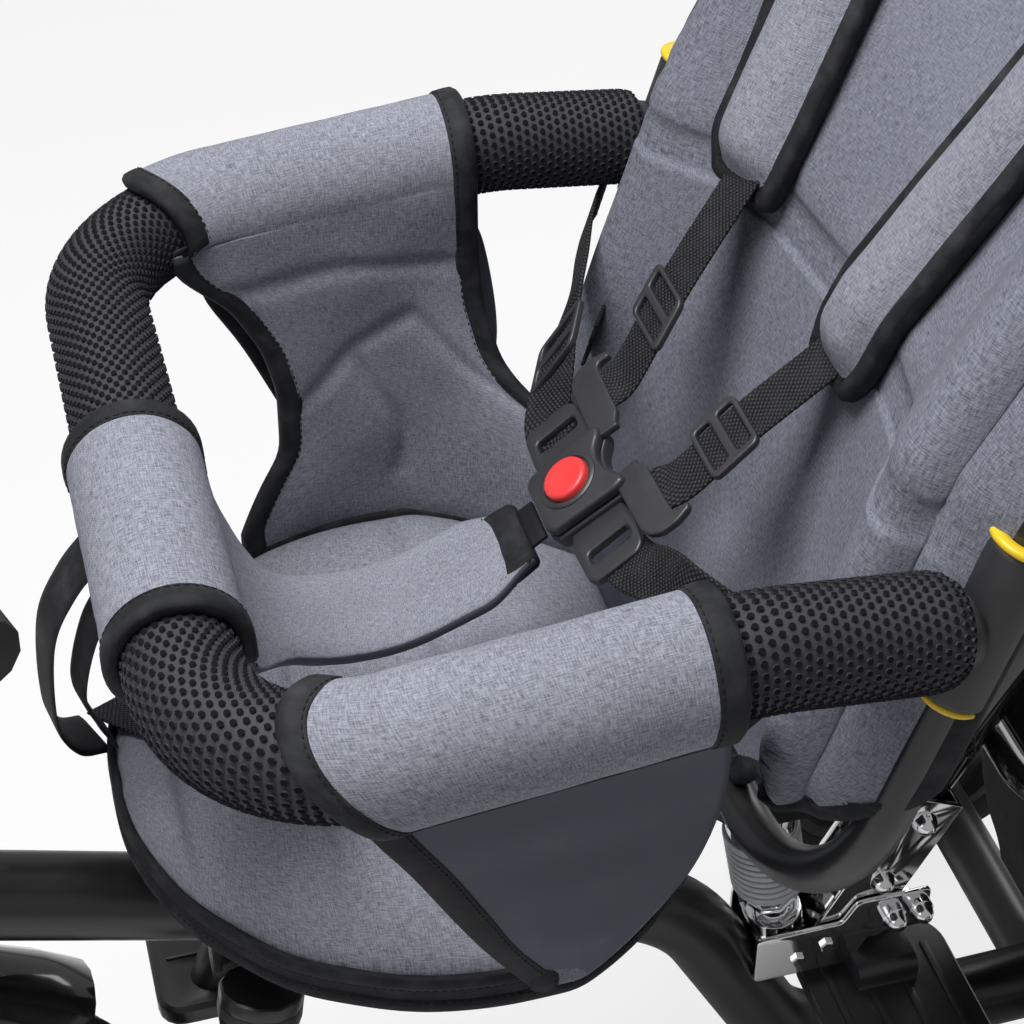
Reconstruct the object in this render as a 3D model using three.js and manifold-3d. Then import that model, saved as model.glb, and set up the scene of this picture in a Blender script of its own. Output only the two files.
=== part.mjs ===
// A toddler push tricycle: a bent steel frame on three wheels, a sprung cloth seat with
// a padded guard ring and a five-point harness, and a push handle behind it.
// Millimetres. +x is the child's left, -y is forward, +z is up. Places in y are counted
// from the clamps where the guard ring meets the back frame, and places in z from the ground.
import * as THREE from "three";
import { mergeVertices } from "three/addons/utils/BufferGeometryUtils.js";
import Module from "manifold-3d";

const wasm = await Module();
wasm.setup();

// Clearances and overruns
const fit = 0.3;
const overrun = 4;

// Wheels
const frontWheelR = 150;
const frontTyreWidth = 44;
const frontTyreDepth = 30;
const frontAxleY = -446;
const rearWheelR = 120;
const rearTyreWidth = 38;
const rearTyreDepth = 26;
const rearAxleY = 200;
const rearTyreX = 215;
const wheelAxleR = 6;
const rimLip = 8;
const webThickness = 10;
const hubR = 21;
const frontHubWidth = 56;
const rearHubWidth = 48;
const hubCapR = 26;
const hubCapHeight = 9;
const spokeCount = 5;

// Steering axis, fork and head tube, along the steering axis from the front axle
const steeringTilt = 8;
const forkInnerX = 34;
const forkBladeThickness = 9;
const forkBladeWidth = 30;
const forkTipR = 15;
const forkCrownZ = 188;
const forkCrownThickness = 20;
const steererR = 12;
const headTubeR = 20;
const headCupR = 24;
const headCupHeight = 9;
const headTubeLength = 92;
const headGap = 1;

// Front fender
const fenderR = 178;
const fenderHalfWidth = 31;
const fenderDome = 15;
const fenderThickness = 3;
const fenderRearAngle = 52;
const fenderFrontAngle = 146;

// Handlebar
const stemR = 16;
const stemLength = 200;
const stemForward = 16;
const barR = 11;
const barHubHalf = 40;
const barRiseX = 84;
const barRise = 30;
const barEndX = 172;
const barBack = 34;
const barBend = 30;
const gripR = 16;
const gripLength = 84;
const gripFlangeR = 20;
const gripFlangeWidth = 5;

// Cranks and pedals
const crankR = 6.5;
const crankX = 56;
const crankLength = 84;
const pedalGap = 4;
const pedalLength = 74;
const pedalWidth = 84;
const pedalHeight = 22;
const pedalRibCount = 3;
const pedalRibWidth = 5;
const pedalRibHeight = 2.5;

// Main frame tube
const mainTubeR = 21;
const mainTubeHeadZ = 381;
const mainTubeSeatY = -35;
const mainTubeSeatZ = 261;
const mainTubeLowY = 39;
const mainTubeLowZ = 118;
const mainTubeSeatBend = 95;
const mainTubeLowBend = 62;

// Rear axle beam
const beamR = 16;
const beamEndGap = 2;

// Seat hinge ears on the main tube
const hingeY = -214;
const hingeZ = 352;
const hingePinR = 5;
const earR = 13;
const earThickness = 5;
const earInnerX = 25;

// Seat carrier under the seat shell
const carrierHalfWidth = 24;
const carrierThickness = 4;
const carrierFrontY = -232;
const carrierDepth = 44;

// Shock absorber
const shockTopY = 7;
const shockTopZ = 322;
const shockLowY = 25;
const shockLowZ = 224;
const shockSleeveR = 20;
const shockSleeveWall = 1.6;
const shockSleeveLength = 60;
const shockCapR = shockSleeveR - shockSleeveWall - fit;
const shockCapHeight = 14;
const shockRodR = 5;
const shockRodRoom = 2.2;
const shockStroke = 12;
const springWireR = 1.7;
const springR = 12.5;
const springTurns = 7;
const shockFootR = 15;
const shockFootHeight = 13;

// Chrome rear bracket between the main tube and the push handle
const bracketHalfWidth = 21;
const bracketPlate = 3;
const bracketFloorZ = 203;
const bracketTopZ = 236;
const bracketRearY = 104;
const bracketStepGap = 7;
const bracketRise = 19;
const bracketRearHeight = 28;

// Push handle
const pushLean = 26;
const pushPassY = 115;
const pushPassZ = 342;
const pushLowerR = 14;
const pushSpigotR = 10;
const pushSpigotLength = 26;
const pushLowerBase = -92;
const pushLowerLength = 392;
const pushUpperR = 11.5;
const pushUpperWall = 1.5;
const pushUpperInside = 150;
const pushUpperOutside = 330;
const pushTravel = 120;
const pushLockR = 23;
const pushLockHeight = 46;
const pushLockLever = 30;
const pushSocketPlate = 3;
const pushSocketLength = 74;
const pushSocketWidth = 38;
const domeNutR = 7;
const domeNutHeight = 9;
const pushBarHalf = 172;
const pushBarBend = 60;
const pushBarDrop = 74;
const pushBarR = 10;
const pushGripR = 16;

// Brake treadle
const treadleFarX = -8;
const treadleNearX = 106;
const treadleFrontY = 35;
const treadleRearY = 122;
const treadleTopZ = 196;
const treadleThickness = 8;
const treadleCorner = 22;
const treadleBlockWidth = 34;
const treadleBlockLength = 44;
const treadleBlockHeight = 14;
const treadleRibCount = 4;
const treadleRibWidth = 4;
const treadleRibHeight = 1.6;
const treadleStudR = 8;
const treadleHexR = 12;
const treadleHexHeight = 9;
const treadlePinR = 3;
const treadlePinLength = 30;
const treadleTilt = 14;

// Basket behind the seat
const basketRimR = 9;
const basketHalfWidth = 128;
const basketRearY = 336;
const basketRimZ = 336;
const basketCorner = 62;
const basketWall = 4;
const basketDepth = 128;
const basketTaper = 24;

// Footrest under the front of the frame
const footrestY = -258;
const footrestTopZ = 300;
const footrestX = 30;
const footrestSplay = 15;
const footrestForward = 12;
const footrestCapR = 21;
const footrestCapHeight = 8;
const footrestFunnel = 22;
const footrestTubeR = 11;
const footrestTubeLength = 66;
const footrestPlate = 6;
const footPegLength = 86;
const footPegWidth = 58;
const footPegThickness = 14;
const footPegRibCount = 3;

// Seat shell
const shellHalfWidth = 140;
const shellFrontY = -300;
const shellRearY = -28;
const shellCorner = 126;
const shellRearCorner = 26;
const shellTopZ = 414;
const shellDepth = 26;
const shellWall = 3;
const shellEdge = 6;

// Seat pad
const padOverhang = 12;
const padHalfWidth = shellHalfWidth + padOverhang;
const padFrontFlat = 4;
const padFrontOverhang = 9;
const padFrontY = shellFrontY - padFrontOverhang;
const padRearY = -57;
const padThickness = 28;
const padEdge = 14;
const padCorner = padHalfWidth - padFrontFlat;
const padRearCorner = 25;
const padChannel = 4;

// Back frame tube, with the clamps of the guard ring
const backFrameR = 10;
const backFrameX = 187;
const backLean = 17;
const backRecline = 29;
const backReclineZ = 662;
const backReclineBend = 120;
const backFrameY = 7;
const clampZ = 610;
const backFrameLowZ = 438;
const backFrameTopZ = 905;
const backFrameBend = 44;
const bushWall = 1.8;
const bushFlange = 3.4;
const bushLowFlange = 1.2;
const bushFlangeHeight = 3;
const bushAbove = 42;
const bushBelow = 36;
const clampWall = 1.8;
const clampEarR = 17;
const clampEarLength = 5;

// Guard ring
const ringHalfWidth = 187;
const ringLength = 283;
const ringCorner = 66;
const ringTubeR = 9;
const ringFoamR = 22;
const ringRiseLength = 86;
const ringRiseAngle = 5.9;
const ringFallAngle = 6.2;

// Cloth around the ring and down to the seat
const wrapGap = 2.4;
const frontWrapGap = 1.6;
const wrapCloth = 4;
const wrapRearY = -98;
const wrapFrontY = -246;
const wrapTopFrontY = -254;
const wrapOuterFrontY = -222;
const wingWaistRearY = -88;
const wingWaistFrontY = -196;
const wingSeatRearY = -74;
const wingSeatFrontY = -228;
const wingGap = 7;
const wingSeatX = padHalfWidth + wingGap;
const wingHemGap = 3;
const wingHemX = padHalfWidth + wingHemGap;
const wingHemZ = 398;
const frontWrapHalf = 64;
const frontWrapX = 48;
const crotchHalf = 28;
const crotchDropZ = 535;
const crotchLowY = -190;
const crotchLowZ = 486;
const crotchEndY = -118;

// Front skirt of the seat
const skirtCloth = 5;
const skirtGap = 5;
const skirtHemZ = 404;
const skirtRearY = -150;

// Back pad
const backPadHalf = 172;
const backPadThickness = 24;
const backPadTopZ = 889;
const backPadWing = 24;
const backPadSag = 22;
const backPadGap = 3;
const backPadChannel = 5;

// Harness
const webbingWidth = 25;
const webbingThickness = 2;
const buckleY = -94;
const buckleZ = 551;
const buckleSize = 42;
const buckleThickness = 15;
const buckleCorner = 9;
const buckleTilt = 38;
const buttonR = 11;
const buttonTravel = 2;
const buttonProud = 3.5;
const tongueWidth = 34;
const tongueLength = 30;
const tongueThickness = 6;
const shoulderPadWidth = 46;
const shoulderPadThickness = 14;
const shoulderPadLength = 190;
const shoulderX = 62;
const shoulderPadLowZ = 644;
const waistEndZ = 590;
const adjusterWidth = 34;
const adjusterLength = 30;
const adjusterThickness = 5;

const rad = (degrees) => (degrees * Math.PI) / 180;
const tan = (degrees) => Math.tan(rad(degrees));
// Radius of a many-sided bore whose flats clear a round of radius r
const boreR = (r, sides) => (r + fit) / Math.cos(Math.PI / sides);
const v3 = (x, y, z) => new THREE.Vector3(x, y, z);
const v2 = (x, y) => new THREE.Vector2(x, y);
const lerp = THREE.MathUtils.lerp;
const clamp01 = (t) => Math.min(Math.max(t, 0), 1);
const smooth = (t) => clamp01(t) ** 2 * (3 - 2 * clamp01(t));

// Turns a geometry into a solid for cutting and joining, and back.
function solid(geometry) {
  const bare = new THREE.BufferGeometry();
  const flat = geometry.index ? geometry.toNonIndexed() : geometry;
  bare.setAttribute("position", flat.getAttribute("position"));
  const merged = mergeVertices(bare, 1e-3);
  const mesh = new wasm.Mesh({
    numProp: 3,
    vertProperties: new Float32Array(merged.attributes.position.array),
    triVerts: new Uint32Array(merged.index.array),
  });
  return new wasm.Manifold(mesh);
}

function geometryOf(manifold) {
  const mesh = manifold.getMesh();
  const geometry = new THREE.BufferGeometry();
  geometry.setAttribute("position", new THREE.BufferAttribute(mesh.vertProperties, 3));
  geometry.setIndex(new THREE.BufferAttribute(mesh.triVerts, 1));
  return geometry;
}

const join = (...parts) => geometryOf(parts.map(solid).reduce((a, b) => a.add(b)));
const cut = (part, ...tools) => geometryOf(tools.map(solid).reduce((a, b) => a.subtract(b), solid(part)));
const common = (a, b) => geometryOf(solid(a).intersect(solid(b)));

// Turns every face of an inside-out geometry round.
function outward(geometry) {
  const index = geometry.index.array;
  const place = geometry.attributes.position;
  const corner = (i) => new THREE.Vector3().fromBufferAttribute(place, index[i]);
  let volume = 0;
  for (let i = 0; i < index.length; i += 3) {
    volume += corner(i).dot(corner(i + 1).cross(corner(i + 2)));
  }
  if (volume < 0) {
    for (let i = 0; i < index.length; i += 3) {
      [index[i + 1], index[i + 2]] = [index[i + 2], index[i + 1]];
    }
  }
  return geometry;
}

// A closed solid turned round +z from a list of [radius, height]
function turned(profile, sides = 24) {
  const points = profile.map(([r, h]) => new THREE.Vector2(r, h));
  const lathe = new THREE.LatheGeometry(points, sides);
  lathe.deleteAttribute("normal");
  lathe.deleteAttribute("uv");
  const merged = mergeVertices(lathe, 1e-3);
  return outward(merged).rotateX(Math.PI / 2);
}

// A solid rod, or a sleeve where a bore is given, standing on z = low
function rod(r, low, high, sides = 20, bore = 0) {
  if (bore > 0) {
    return turned([[bore, low], [r, low], [r, high], [bore, high], [bore, low]], sides);
  }
  return turned([[0, low], [r, low], [r, high], [0, high]], sides);
}

// A dome-topped disc: flat at z = low
function dome(r, low, high, sides = 16) {
  const profile = [[0, low], [r, low]];
  const rings = 3;
  for (let i = 1; i <= rings; i++) {
    const a = (i / rings) * (Math.PI / 2);
    profile.push([i === rings ? 0 : r * Math.cos(a), low + (high - low) * Math.sin(a)]);
  }
  return turned(profile, sides);
}

// A plate from an outline, between z = low and z = high, with rounded edges if edge is given
function plate(shape, low, high, edge = 0, curve = 6, rounds = 1) {
  const geometry = new THREE.ExtrudeGeometry(shape, {
    depth: high - low - 2 * edge,
    bevelEnabled: edge > 0,
    bevelThickness: edge,
    bevelSize: edge,
    bevelOffset: -edge,
    bevelSegments: rounds,
    curveSegments: curve,
  });
  return geometry.translate(0, 0, low + edge);
}

function roundedRect(x0, y0, x1, y1, r) {
  const s = new THREE.Shape();
  s.moveTo(x0 + r, y0);
  s.lineTo(x1 - r, y0);
  s.absarc(x1 - r, y0 + r, r, -Math.PI / 2, 0);
  s.lineTo(x1, y1 - r);
  s.absarc(x1 - r, y1 - r, r, 0, Math.PI / 2);
  s.lineTo(x0 + r, y1);
  s.absarc(x0 + r, y1 - r, r, Math.PI / 2, Math.PI);
  s.lineTo(x0, y0 + r);
  s.absarc(x0 + r, y0 + r, r, Math.PI, 1.5 * Math.PI);
  return s;
}

const block = (x0, x1, y0, y1, z0, z1) =>
  new THREE.BoxGeometry(x1 - x0, y1 - y0, z1 - z0).translate((x0 + x1) / 2, (y0 + y1) / 2, (z0 + z1) / 2);

function ngon(r, sides) {
  const points = [];
  for (let i = 0; i < sides; i++) {
    const a = (i / sides) * 2 * Math.PI;
    points.push(new THREE.Vector2(r * Math.cos(a), r * Math.sin(a)));
  }
  return new THREE.Shape(points);
}

// A path of straight runs with round bends: bendSteps for a right angle, and one for each straight run
class BentPath extends THREE.Curve {
  constructor(corners, radii, bendSteps = 6) {
    super();
    this.stations = [];
    corners.forEach((corner, i) => {
      const r = radii[i] || 0;
      if (i === 0 || i === corners.length - 1 || r === 0) {
        const next = corners[Math.min(i + 1, corners.length - 1)];
        const last = corners[Math.max(i - 1, 0)];
        this.stations.push({ at: corner.clone(), along: next.clone().sub(last).normalize() });
        return;
      }
      const into = corner.clone().sub(corners[i - 1]).normalize();
      const out = corners[i + 1].clone().sub(corner).normalize();
      const angle = into.angleTo(out);
      const reach = r * Math.tan(angle / 2);
      const centre = corner.clone().addScaledVector(out.clone().sub(into).normalize(), r / Math.cos(angle / 2));
      const start = corner.clone().addScaledVector(into, -reach);
      const axis = into.clone().cross(out).normalize();
      const steps = Math.ceil((bendSteps * angle) / (Math.PI / 2));
      for (let k = 0; k <= steps; k++) {
        const turn = (angle * k) / steps;
        const at = start.clone().sub(centre).applyAxisAngle(axis, turn).add(centre);
        this.stations.push({ at, along: into.clone().applyAxisAngle(axis, turn) });
      }
    });
  }
  get steps() {
    return this.stations.length - 1;
  }
  getUtoTmapping(u) {
    return u;
  }
  between(t, key) {
    const place = t * this.steps;
    const i = Math.min(Math.floor(place), this.steps - 1);
    return this.stations[i][key].clone().lerp(this.stations[i + 1][key], place - i);
  }
  getPoint(t, target = new THREE.Vector3()) {
    return target.copy(this.between(t, "at"));
  }
  getTangent(t, target = new THREE.Vector3()) {
    return target.copy(this.between(t, "along").normalize());
  }
}

// A round tube along a bent path, solid or with a bore
function tube(path, r, sides = 14, bore = 0, boreSides = 8) {
  const section = ngon(r, sides);
  if (bore > 0) {
    section.holes.push(new THREE.Path(ngon(bore, boreSides).getPoints()));
  }
  return new THREE.ExtrudeGeometry(section, { steps: path.steps, extrudePath: path, bevelEnabled: false });
}

// A closed sheet over a grid: point(u, v) is its middle and thickness(u, v) its cloth,
// square to the sheet or along a given way
function sheet(nu, nv, point, thickness, way) {
  const step = 1e-3;
  const places = [];
  const index = [];
  for (const side of [1, -1]) {
    for (let j = 0; j <= nv; j++) {
      for (let i = 0; i <= nu; i++) {
        const u = i / nu;
        const v = j / nv;
        const du = point(Math.min(u + step, 1), v).sub(point(Math.max(u - step, 0), v));
        const dv = point(u, Math.min(v + step, 1)).sub(point(u, Math.max(v - step, 0)));
        const normal = way || du.cross(dv).normalize();
        const at = point(u, v).addScaledVector(normal, (side * thickness(u, v)) / 2);
        places.push(at.x, at.y, at.z);
      }
    }
  }
  const row = nu + 1;
  const layer = row * (nv + 1);
  const quad = (a, b, c, d) => index.push(a, b, c, a, c, d);
  for (let j = 0; j < nv; j++) {
    for (let i = 0; i < nu; i++) {
      const a = j * row + i;
      quad(a, a + 1, a + 1 + row, a + row);
      quad(layer + a, layer + a + row, layer + a + row + 1, layer + a + 1);
    }
  }
  for (let i = 0; i < nu; i++) {
    quad(i + 1, i, layer + i, layer + i + 1);
    const top = nv * row + i;
    quad(top, top + 1, layer + top + 1, layer + top);
  }
  for (let j = 0; j < nv; j++) {
    const left = j * row;
    quad(left, left + row, layer + left + row, layer + left);
    const right = j * row + nu;
    quad(right + row, right, layer + right, layer + right + row);
  }
  const geometry = new THREE.BufferGeometry();
  geometry.setAttribute("position", new THREE.BufferAttribute(new Float32Array(places), 3));
  geometry.setIndex(index);
  return outward(geometry);
}

// Lays a geometry drawn in x and y upright in x and z, its depth along y
const upright = (geometry) => geometry.rotateX(Math.PI / 2);
// Turns a geometry drawn in x and y into y and z, its depth along x
const sideways = (geometry) => geometry.rotateX(Math.PI / 2).rotateZ(Math.PI / 2);
// Turns a piece that stands on z = 0 to lie along x
const lateral = (geometry) => geometry.rotateY(Math.PI / 2);

// Moves a piece that stands along +z to start at a point and run along a direction
function along(geometry, from, direction) {
  const turn = new THREE.Quaternion().setFromUnitVectors(v3(0, 0, 1), direction.clone().normalize());
  return geometry.applyQuaternion(turn).translate(from.x, from.y, from.z);
}

function outline(points) {
  const shape = new THREE.Shape();
  points.forEach(([a, b], i) => (i === 0 ? shape.moveTo(a, b) : shape.lineTo(a, b)));
  return shape;
}

// Wheels

// Shares of half the tyre's width and of its depth, from bead to bead
const tyreBeadShare = 0.82;
const tyreSectionShares = [
  [-0.82, 0], [-1, 0.35], [-0.86, 0.76], [-0.42, 1], [-0.34, 0.9],
  [0.34, 0.9], [0.42, 1], [0.86, 0.76], [1, 0.35], [0.82, 0],
];

function tyre(outerR, width, depth, sides) {
  const profile = tyreSectionShares.map(([w, d]) => [outerR - depth + d * depth, (w * width) / 2]);
  profile.push(profile[0]);
  return lateral(turned(profile, sides));
}

// A moulded wheel: barrel, web with windows, and hub. Its bore is blind where it has a cap.
function wheel(outerR, tyreDepth, tyreWidth, hubWidth, sides, capSide) {
  const r = outerR - tyreDepth - fit;
  const barrel = r - rimLip;
  const half = (tyreWidth * tyreBeadShare) / 2;
  const web = webThickness / 2;
  const hub = hubWidth / 2;
  const profile = [
    [0, -hub], [hubR, -hub], [hubR, -web], [barrel, -web], [barrel, -half], [r, -half],
    [r, half], [barrel, half], [barrel, web], [hubR, web], [hubR, hub], [0, hub],
  ];
  const body = turned(profile, sides);
  const windows = [];
  const inner = hubR + rimLip;
  const outer = barrel - rimLip;
  for (let i = 0; i < spokeCount; i++) {
    const a = (i / spokeCount) * 2 * Math.PI;
    const wide = (Math.PI / spokeCount) * 0.74;
    const narrow = (Math.PI / spokeCount) * 0.42;
    const window = new THREE.Shape();
    window.absarc(0, 0, outer, a - wide, a + wide, false);
    window.absarc(0, 0, inner, a + narrow, a - narrow, true);
    windows.push(plate(window, -webThickness, webThickness, 0, 2));
  }
  let made = cut(body, ...windows);
  let boreHigh = hub + overrun;
  if (capSide) {
    const cap = dome(hubCapR, hub - fit, hub + hubCapHeight, 12);
    made = join(made, cap);
    boreHigh = hub;
  }
  made = cut(made, rod(boreR(capSide ? wheelAxleR : crankR, 12), -hub - overrun, boreHigh, 12));
  return lateral(made).rotateZ(capSide < 0 ? Math.PI : 0);
}

// Steering group: its origin is the front axle and its z runs up the steering axis

const forkTopZ = forkCrownZ + forkCrownThickness;
const headLowZ = forkTopZ + fit;
const headTopZ = headLowZ + headTubeLength;
const stemLowZ = headTopZ + fit;
const barZ = stemLowZ + stemLength;

function fork() {
  const outerX = forkInnerX + forkBladeThickness;
  const wide = forkBladeWidth / 2;
  const frontView = roundedRect(-outerX, -2 * forkTipR, outerX, forkTopZ, forkBladeWidth);
  const gap = roundedRect(-forkInnerX, -3 * forkTipR, forkInnerX, forkCrownZ, forkBladeWidth - forkBladeThickness);
  const arch = cut(
    upright(plate(frontView, -forkBladeWidth, forkBladeWidth, 0, 4)),
    upright(plate(gap, -forkBladeWidth - overrun, forkBladeWidth + overrun, 0, 4)),
  );
  const sideView = new THREE.Shape();
  sideView.absarc(0, 0, forkTipR, Math.PI, 2 * Math.PI, false);
  sideView.lineTo(wide, forkBladeWidth * 2);
  sideView.lineTo(wide, forkTopZ + overrun);
  sideView.lineTo(-wide, forkTopZ + overrun);
  sideView.lineTo(-wide, forkBladeWidth * 2);
  const blades = common(arch, sideways(plate(sideView, -outerX - overrun, outerX + overrun, 0, 5)));
  const crown = rod(headCupR, forkTopZ - forkCrownThickness / 2, forkTopZ, 16);
  const steerer = rod(steererR, forkCrownZ, stemLowZ + stemR * 2, 12);
  return cut(join(blades, crown, steerer), lateral(rod(boreR(crankR, 12), -outerX - overrun, outerX + overrun, 12)));
}

function headTube() {
  const bore = boreR(steererR, 16);
  const low = headLowZ;
  const high = headTopZ;
  const profile = [
    [bore, low], [headCupR, low], [headCupR, low + headCupHeight], [headTubeR, low + headCupHeight],
    [headTubeR, high - headCupHeight], [headCupR, high - headCupHeight], [headCupR, high],
    [bore, high], [bore, low],
  ];
  return turned(profile, 16);
}

function fender() {
  const mid = fenderR - fenderThickness / 2;
  const point = (u, v) => {
    const s = 2 * u - 1;
    const a = rad(lerp(fenderRearAngle + steeringTilt, fenderFrontAngle + steeringTilt, v));
    const r = mid - fenderDome * Math.abs(s) ** 2.4;
    return v3(s * fenderHalfWidth, r * Math.cos(a), r * Math.sin(a));
  };
  const shell = sheet(6, 12, point, () => fenderThickness);
  const boss = rod(stemR, mid, forkCrownZ - fit, 12);
  return join(shell, boss);
}

const barCentre = v3(0, -stemForward, barZ);
const barPoint = (x, y, z) => v3(x, barCentre.y + y, barCentre.z + z);
const gripDirection = barPoint(barEndX, barBack, barRise).sub(barPoint(barRiseX, 0, barRise)).normalize();

function handlebar() {
  const corners = [
    barPoint(-barEndX, barBack, barRise), barPoint(-barRiseX, 0, barRise), barPoint(-barHubHalf, 0, 0),
    barPoint(barHubHalf, 0, 0), barPoint(barRiseX, 0, barRise), barPoint(barEndX, barBack, barRise),
  ];
  const bar = tube(new BentPath(corners, [0, barBend, barBend, barBend, barBend, 0], 3), barR, 10);
  const hub = lateral(rod(stemR, -barHubHalf, barHubHalf, 14)).translate(0, barCentre.y, barCentre.z);
  const post = rod(stemR, stemLowZ, barZ - stemR / 2, 14);
  const neck = along(rod(stemR, 0, stemForward + stemR, 14), v3(0, 0, barZ - stemR), v3(0, -stemForward, stemR));
  const bore = rod(boreR(steererR, 12), stemLowZ - overrun, stemLowZ + stemR * 2 + fit, 12);
  return cut(join(post, neck, hub, bar), bore);
}

function grip(side) {
  const from = v3(side * barEndX, barCentre.y + barBack, barCentre.z + barRise);
  const inward = v3(-side * gripDirection.x, -gripDirection.y, -gripDirection.z);
  const start = from.clone().addScaledVector(inward, -gripFlangeWidth);
  const profile = [
    [0, 0], [gripR, 0], [gripR, gripLength], [gripFlangeR, gripLength],
    [gripFlangeR, gripLength + gripFlangeWidth], [boreR(barR, 12), gripLength + gripFlangeWidth],
    [boreR(barR, 12), gripFlangeWidth - fit], [0, gripFlangeWidth - fit],
  ];
  return along(turned(profile, 12), start, inward);
}

function crank() {
  const half = crankX + crankR;
  const spindle = lateral(rod(crankR, -half, half, 12));
  const parts = [spindle];
  for (const side of [1, -1]) {
    const arm = new THREE.Shape();
    arm.absarc(0, 0, crankR + fit * 3, Math.PI, 2 * Math.PI, false);
    arm.absarc(0, crankLength, crankR + fit * 3, 0, Math.PI, false);
    const flat = sideways(plate(arm, crankX, crankX + crankR, 0, 4));
    parts.push(side > 0 ? flat : flat.rotateY(Math.PI));
    const pin = rod(crankR - fit * 3, crankX, crankX + crankR + pedalGap + pedalWidth * 0.9, 8);
    parts.push(lateral(pin).rotateY(side > 0 ? 0 : Math.PI).translate(0, 0, side * crankLength));
  }
  return join(...parts);
}

// A pedal round its pin, which runs along x
function pedal(side) {
  const near = crankX + crankR + pedalGap;
  const far = near + pedalWidth;
  const half = pedalLength / 2;
  const barrelR = pedalHeight / 2;
  const frame = plate(roundedRect(near, -half, far, half, barrelR), -barrelR, barrelR, pedalRibHeight, 2);
  const window = (y) => block(near + barrelR, far - barrelR, y - half / 6, y + half / 6, -pedalHeight, pedalHeight);
  let made = cut(frame, window(half * 0.5), window(-half * 0.5));
  const ribs = [];
  for (let i = 0; i < pedalRibCount; i++) {
    const x = lerp(near + barrelR, far - barrelR, i / (pedalRibCount - 1));
    const wide = pedalRibWidth / 2;
    ribs.push(block(x - wide, x + wide, -half + barrelR, half - barrelR,
      -barrelR - pedalRibHeight, barrelR + pedalRibHeight));
  }
  made = join(made, ...ribs);
  const bore = lateral(rod(boreR(crankR - fit * 3, 8), near - overrun, near + pedalWidth * 0.9 + fit, 8));
  made = cut(made, bore);
  return side > 0 ? made : made.rotateZ(Math.PI);
}

// Frame

const headMeetY = frontAxleY + (mainTubeHeadZ - frontWheelR) * tan(steeringTilt);
const mainTubeZ = (y) => lerp(mainTubeHeadZ, mainTubeSeatZ, (y - headMeetY) / (mainTubeSeatY - headMeetY));

function steeringPlaced(geometry) {
  return geometry.rotateX(-rad(steeringTilt)).translate(0, frontAxleY, frontWheelR);
}

function mainTubePath() {
  const corners = [
    v3(0, headMeetY, mainTubeHeadZ), v3(0, mainTubeSeatY, mainTubeSeatZ),
    v3(0, mainTubeLowY, mainTubeLowZ), v3(0, rearAxleY, rearWheelR),
  ];
  return new BentPath(corners, [0, mainTubeSeatBend, mainTubeLowBend, 0], 7);
}

function hingeEars() {
  const outer = earInnerX + earThickness;
  const low = mainTubeZ(hingeY);
  const top = low + mainTubeR;
  const view = new THREE.Shape();
  view.moveTo(hingeY - earR, low);
  view.lineTo(hingeY + earR, low);
  view.lineTo(hingeY + earR, hingeZ);
  view.absarc(hingeY, hingeZ, earR, 0, Math.PI, false);
  const body = sideways(plate(view, -outer, outer, 0, 4));
  const slot = block(-earInnerX, earInnerX, hingeY - 2 * earR, hingeY + 2 * earR, top + fit, hingeZ + 2 * earR);
  return cut(body, slot);
}

function mainTube() {
  const body = join(tube(mainTubePath(), mainTubeR, 12), hingeEars());
  const outer = earInnerX + earThickness;
  const pin = lateral(rod(boreR(hingePinR, 12), -outer - overrun, outer + overrun, 12)).translate(0, hingeY, hingeZ);
  const head = steeringPlaced(join(
    rod(boreR(headTubeR, 20), headLowZ - overrun, headTopZ + overrun, 20),
    rod(boreR(headCupR, 20), headLowZ - headCupHeight, headLowZ + headCupHeight + fit, 20),
    rod(boreR(headCupR, 20), headTopZ - headCupHeight - fit, headTopZ + headCupHeight, 20),
  ));
  const beam = lateral(rod(boreR(beamR, 16), -mainTubeR * 2, mainTubeR * 2, 16)).translate(0, rearAxleY, rearWheelR);
  const trimmed = cut(body, pin, head, beam);
  return largest(trimmed);
}

// Keeps the biggest piece of a cut solid
function largest(geometry) {
  const pieces = solid(geometry).decompose();
  pieces.sort((a, b) => b.volume() - a.volume());
  return geometryOf(pieces[0]);
}

const wheelInnerX = rearTyreX - rearHubWidth / 2;

// The beam ends in the two stub axles that the rear wheels turn on
function rearAxleBeam() {
  const half = wheelInnerX - beamEndGap;
  const end = rearTyreX + rearHubWidth / 2 - fit;
  const profile = [
    [0, -end], [wheelAxleR, -end], [wheelAxleR, -half], [beamR, -half],
    [beamR, half], [wheelAxleR, half], [wheelAxleR, end], [0, end],
  ];
  return lateral(turned(profile, 16)).translate(0, rearAxleY, rearWheelR);
}

// Where the push handle's axis is at a distance along it from the basket's hoop
const pushAlong = v3(0, Math.sin(rad(pushLean)), Math.cos(rad(pushLean)));
const pushAt = (s) => v3(0, pushPassY, pushPassZ).addScaledVector(pushAlong, s);
const pushY = (z) => pushPassY + (z - pushPassZ) * tan(pushLean);

function pushPlaced(geometry) {
  return geometry.rotateX(-rad(pushLean)).translate(0, pushPassY, pushPassZ);
}

const bracketStepY = shockLowY + shockFootR + bracketStepGap;
const bracketRearZ = bracketFloorZ + bracketRise;
const bracketRearTopZ = bracketRearZ + bracketRearHeight;

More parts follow.
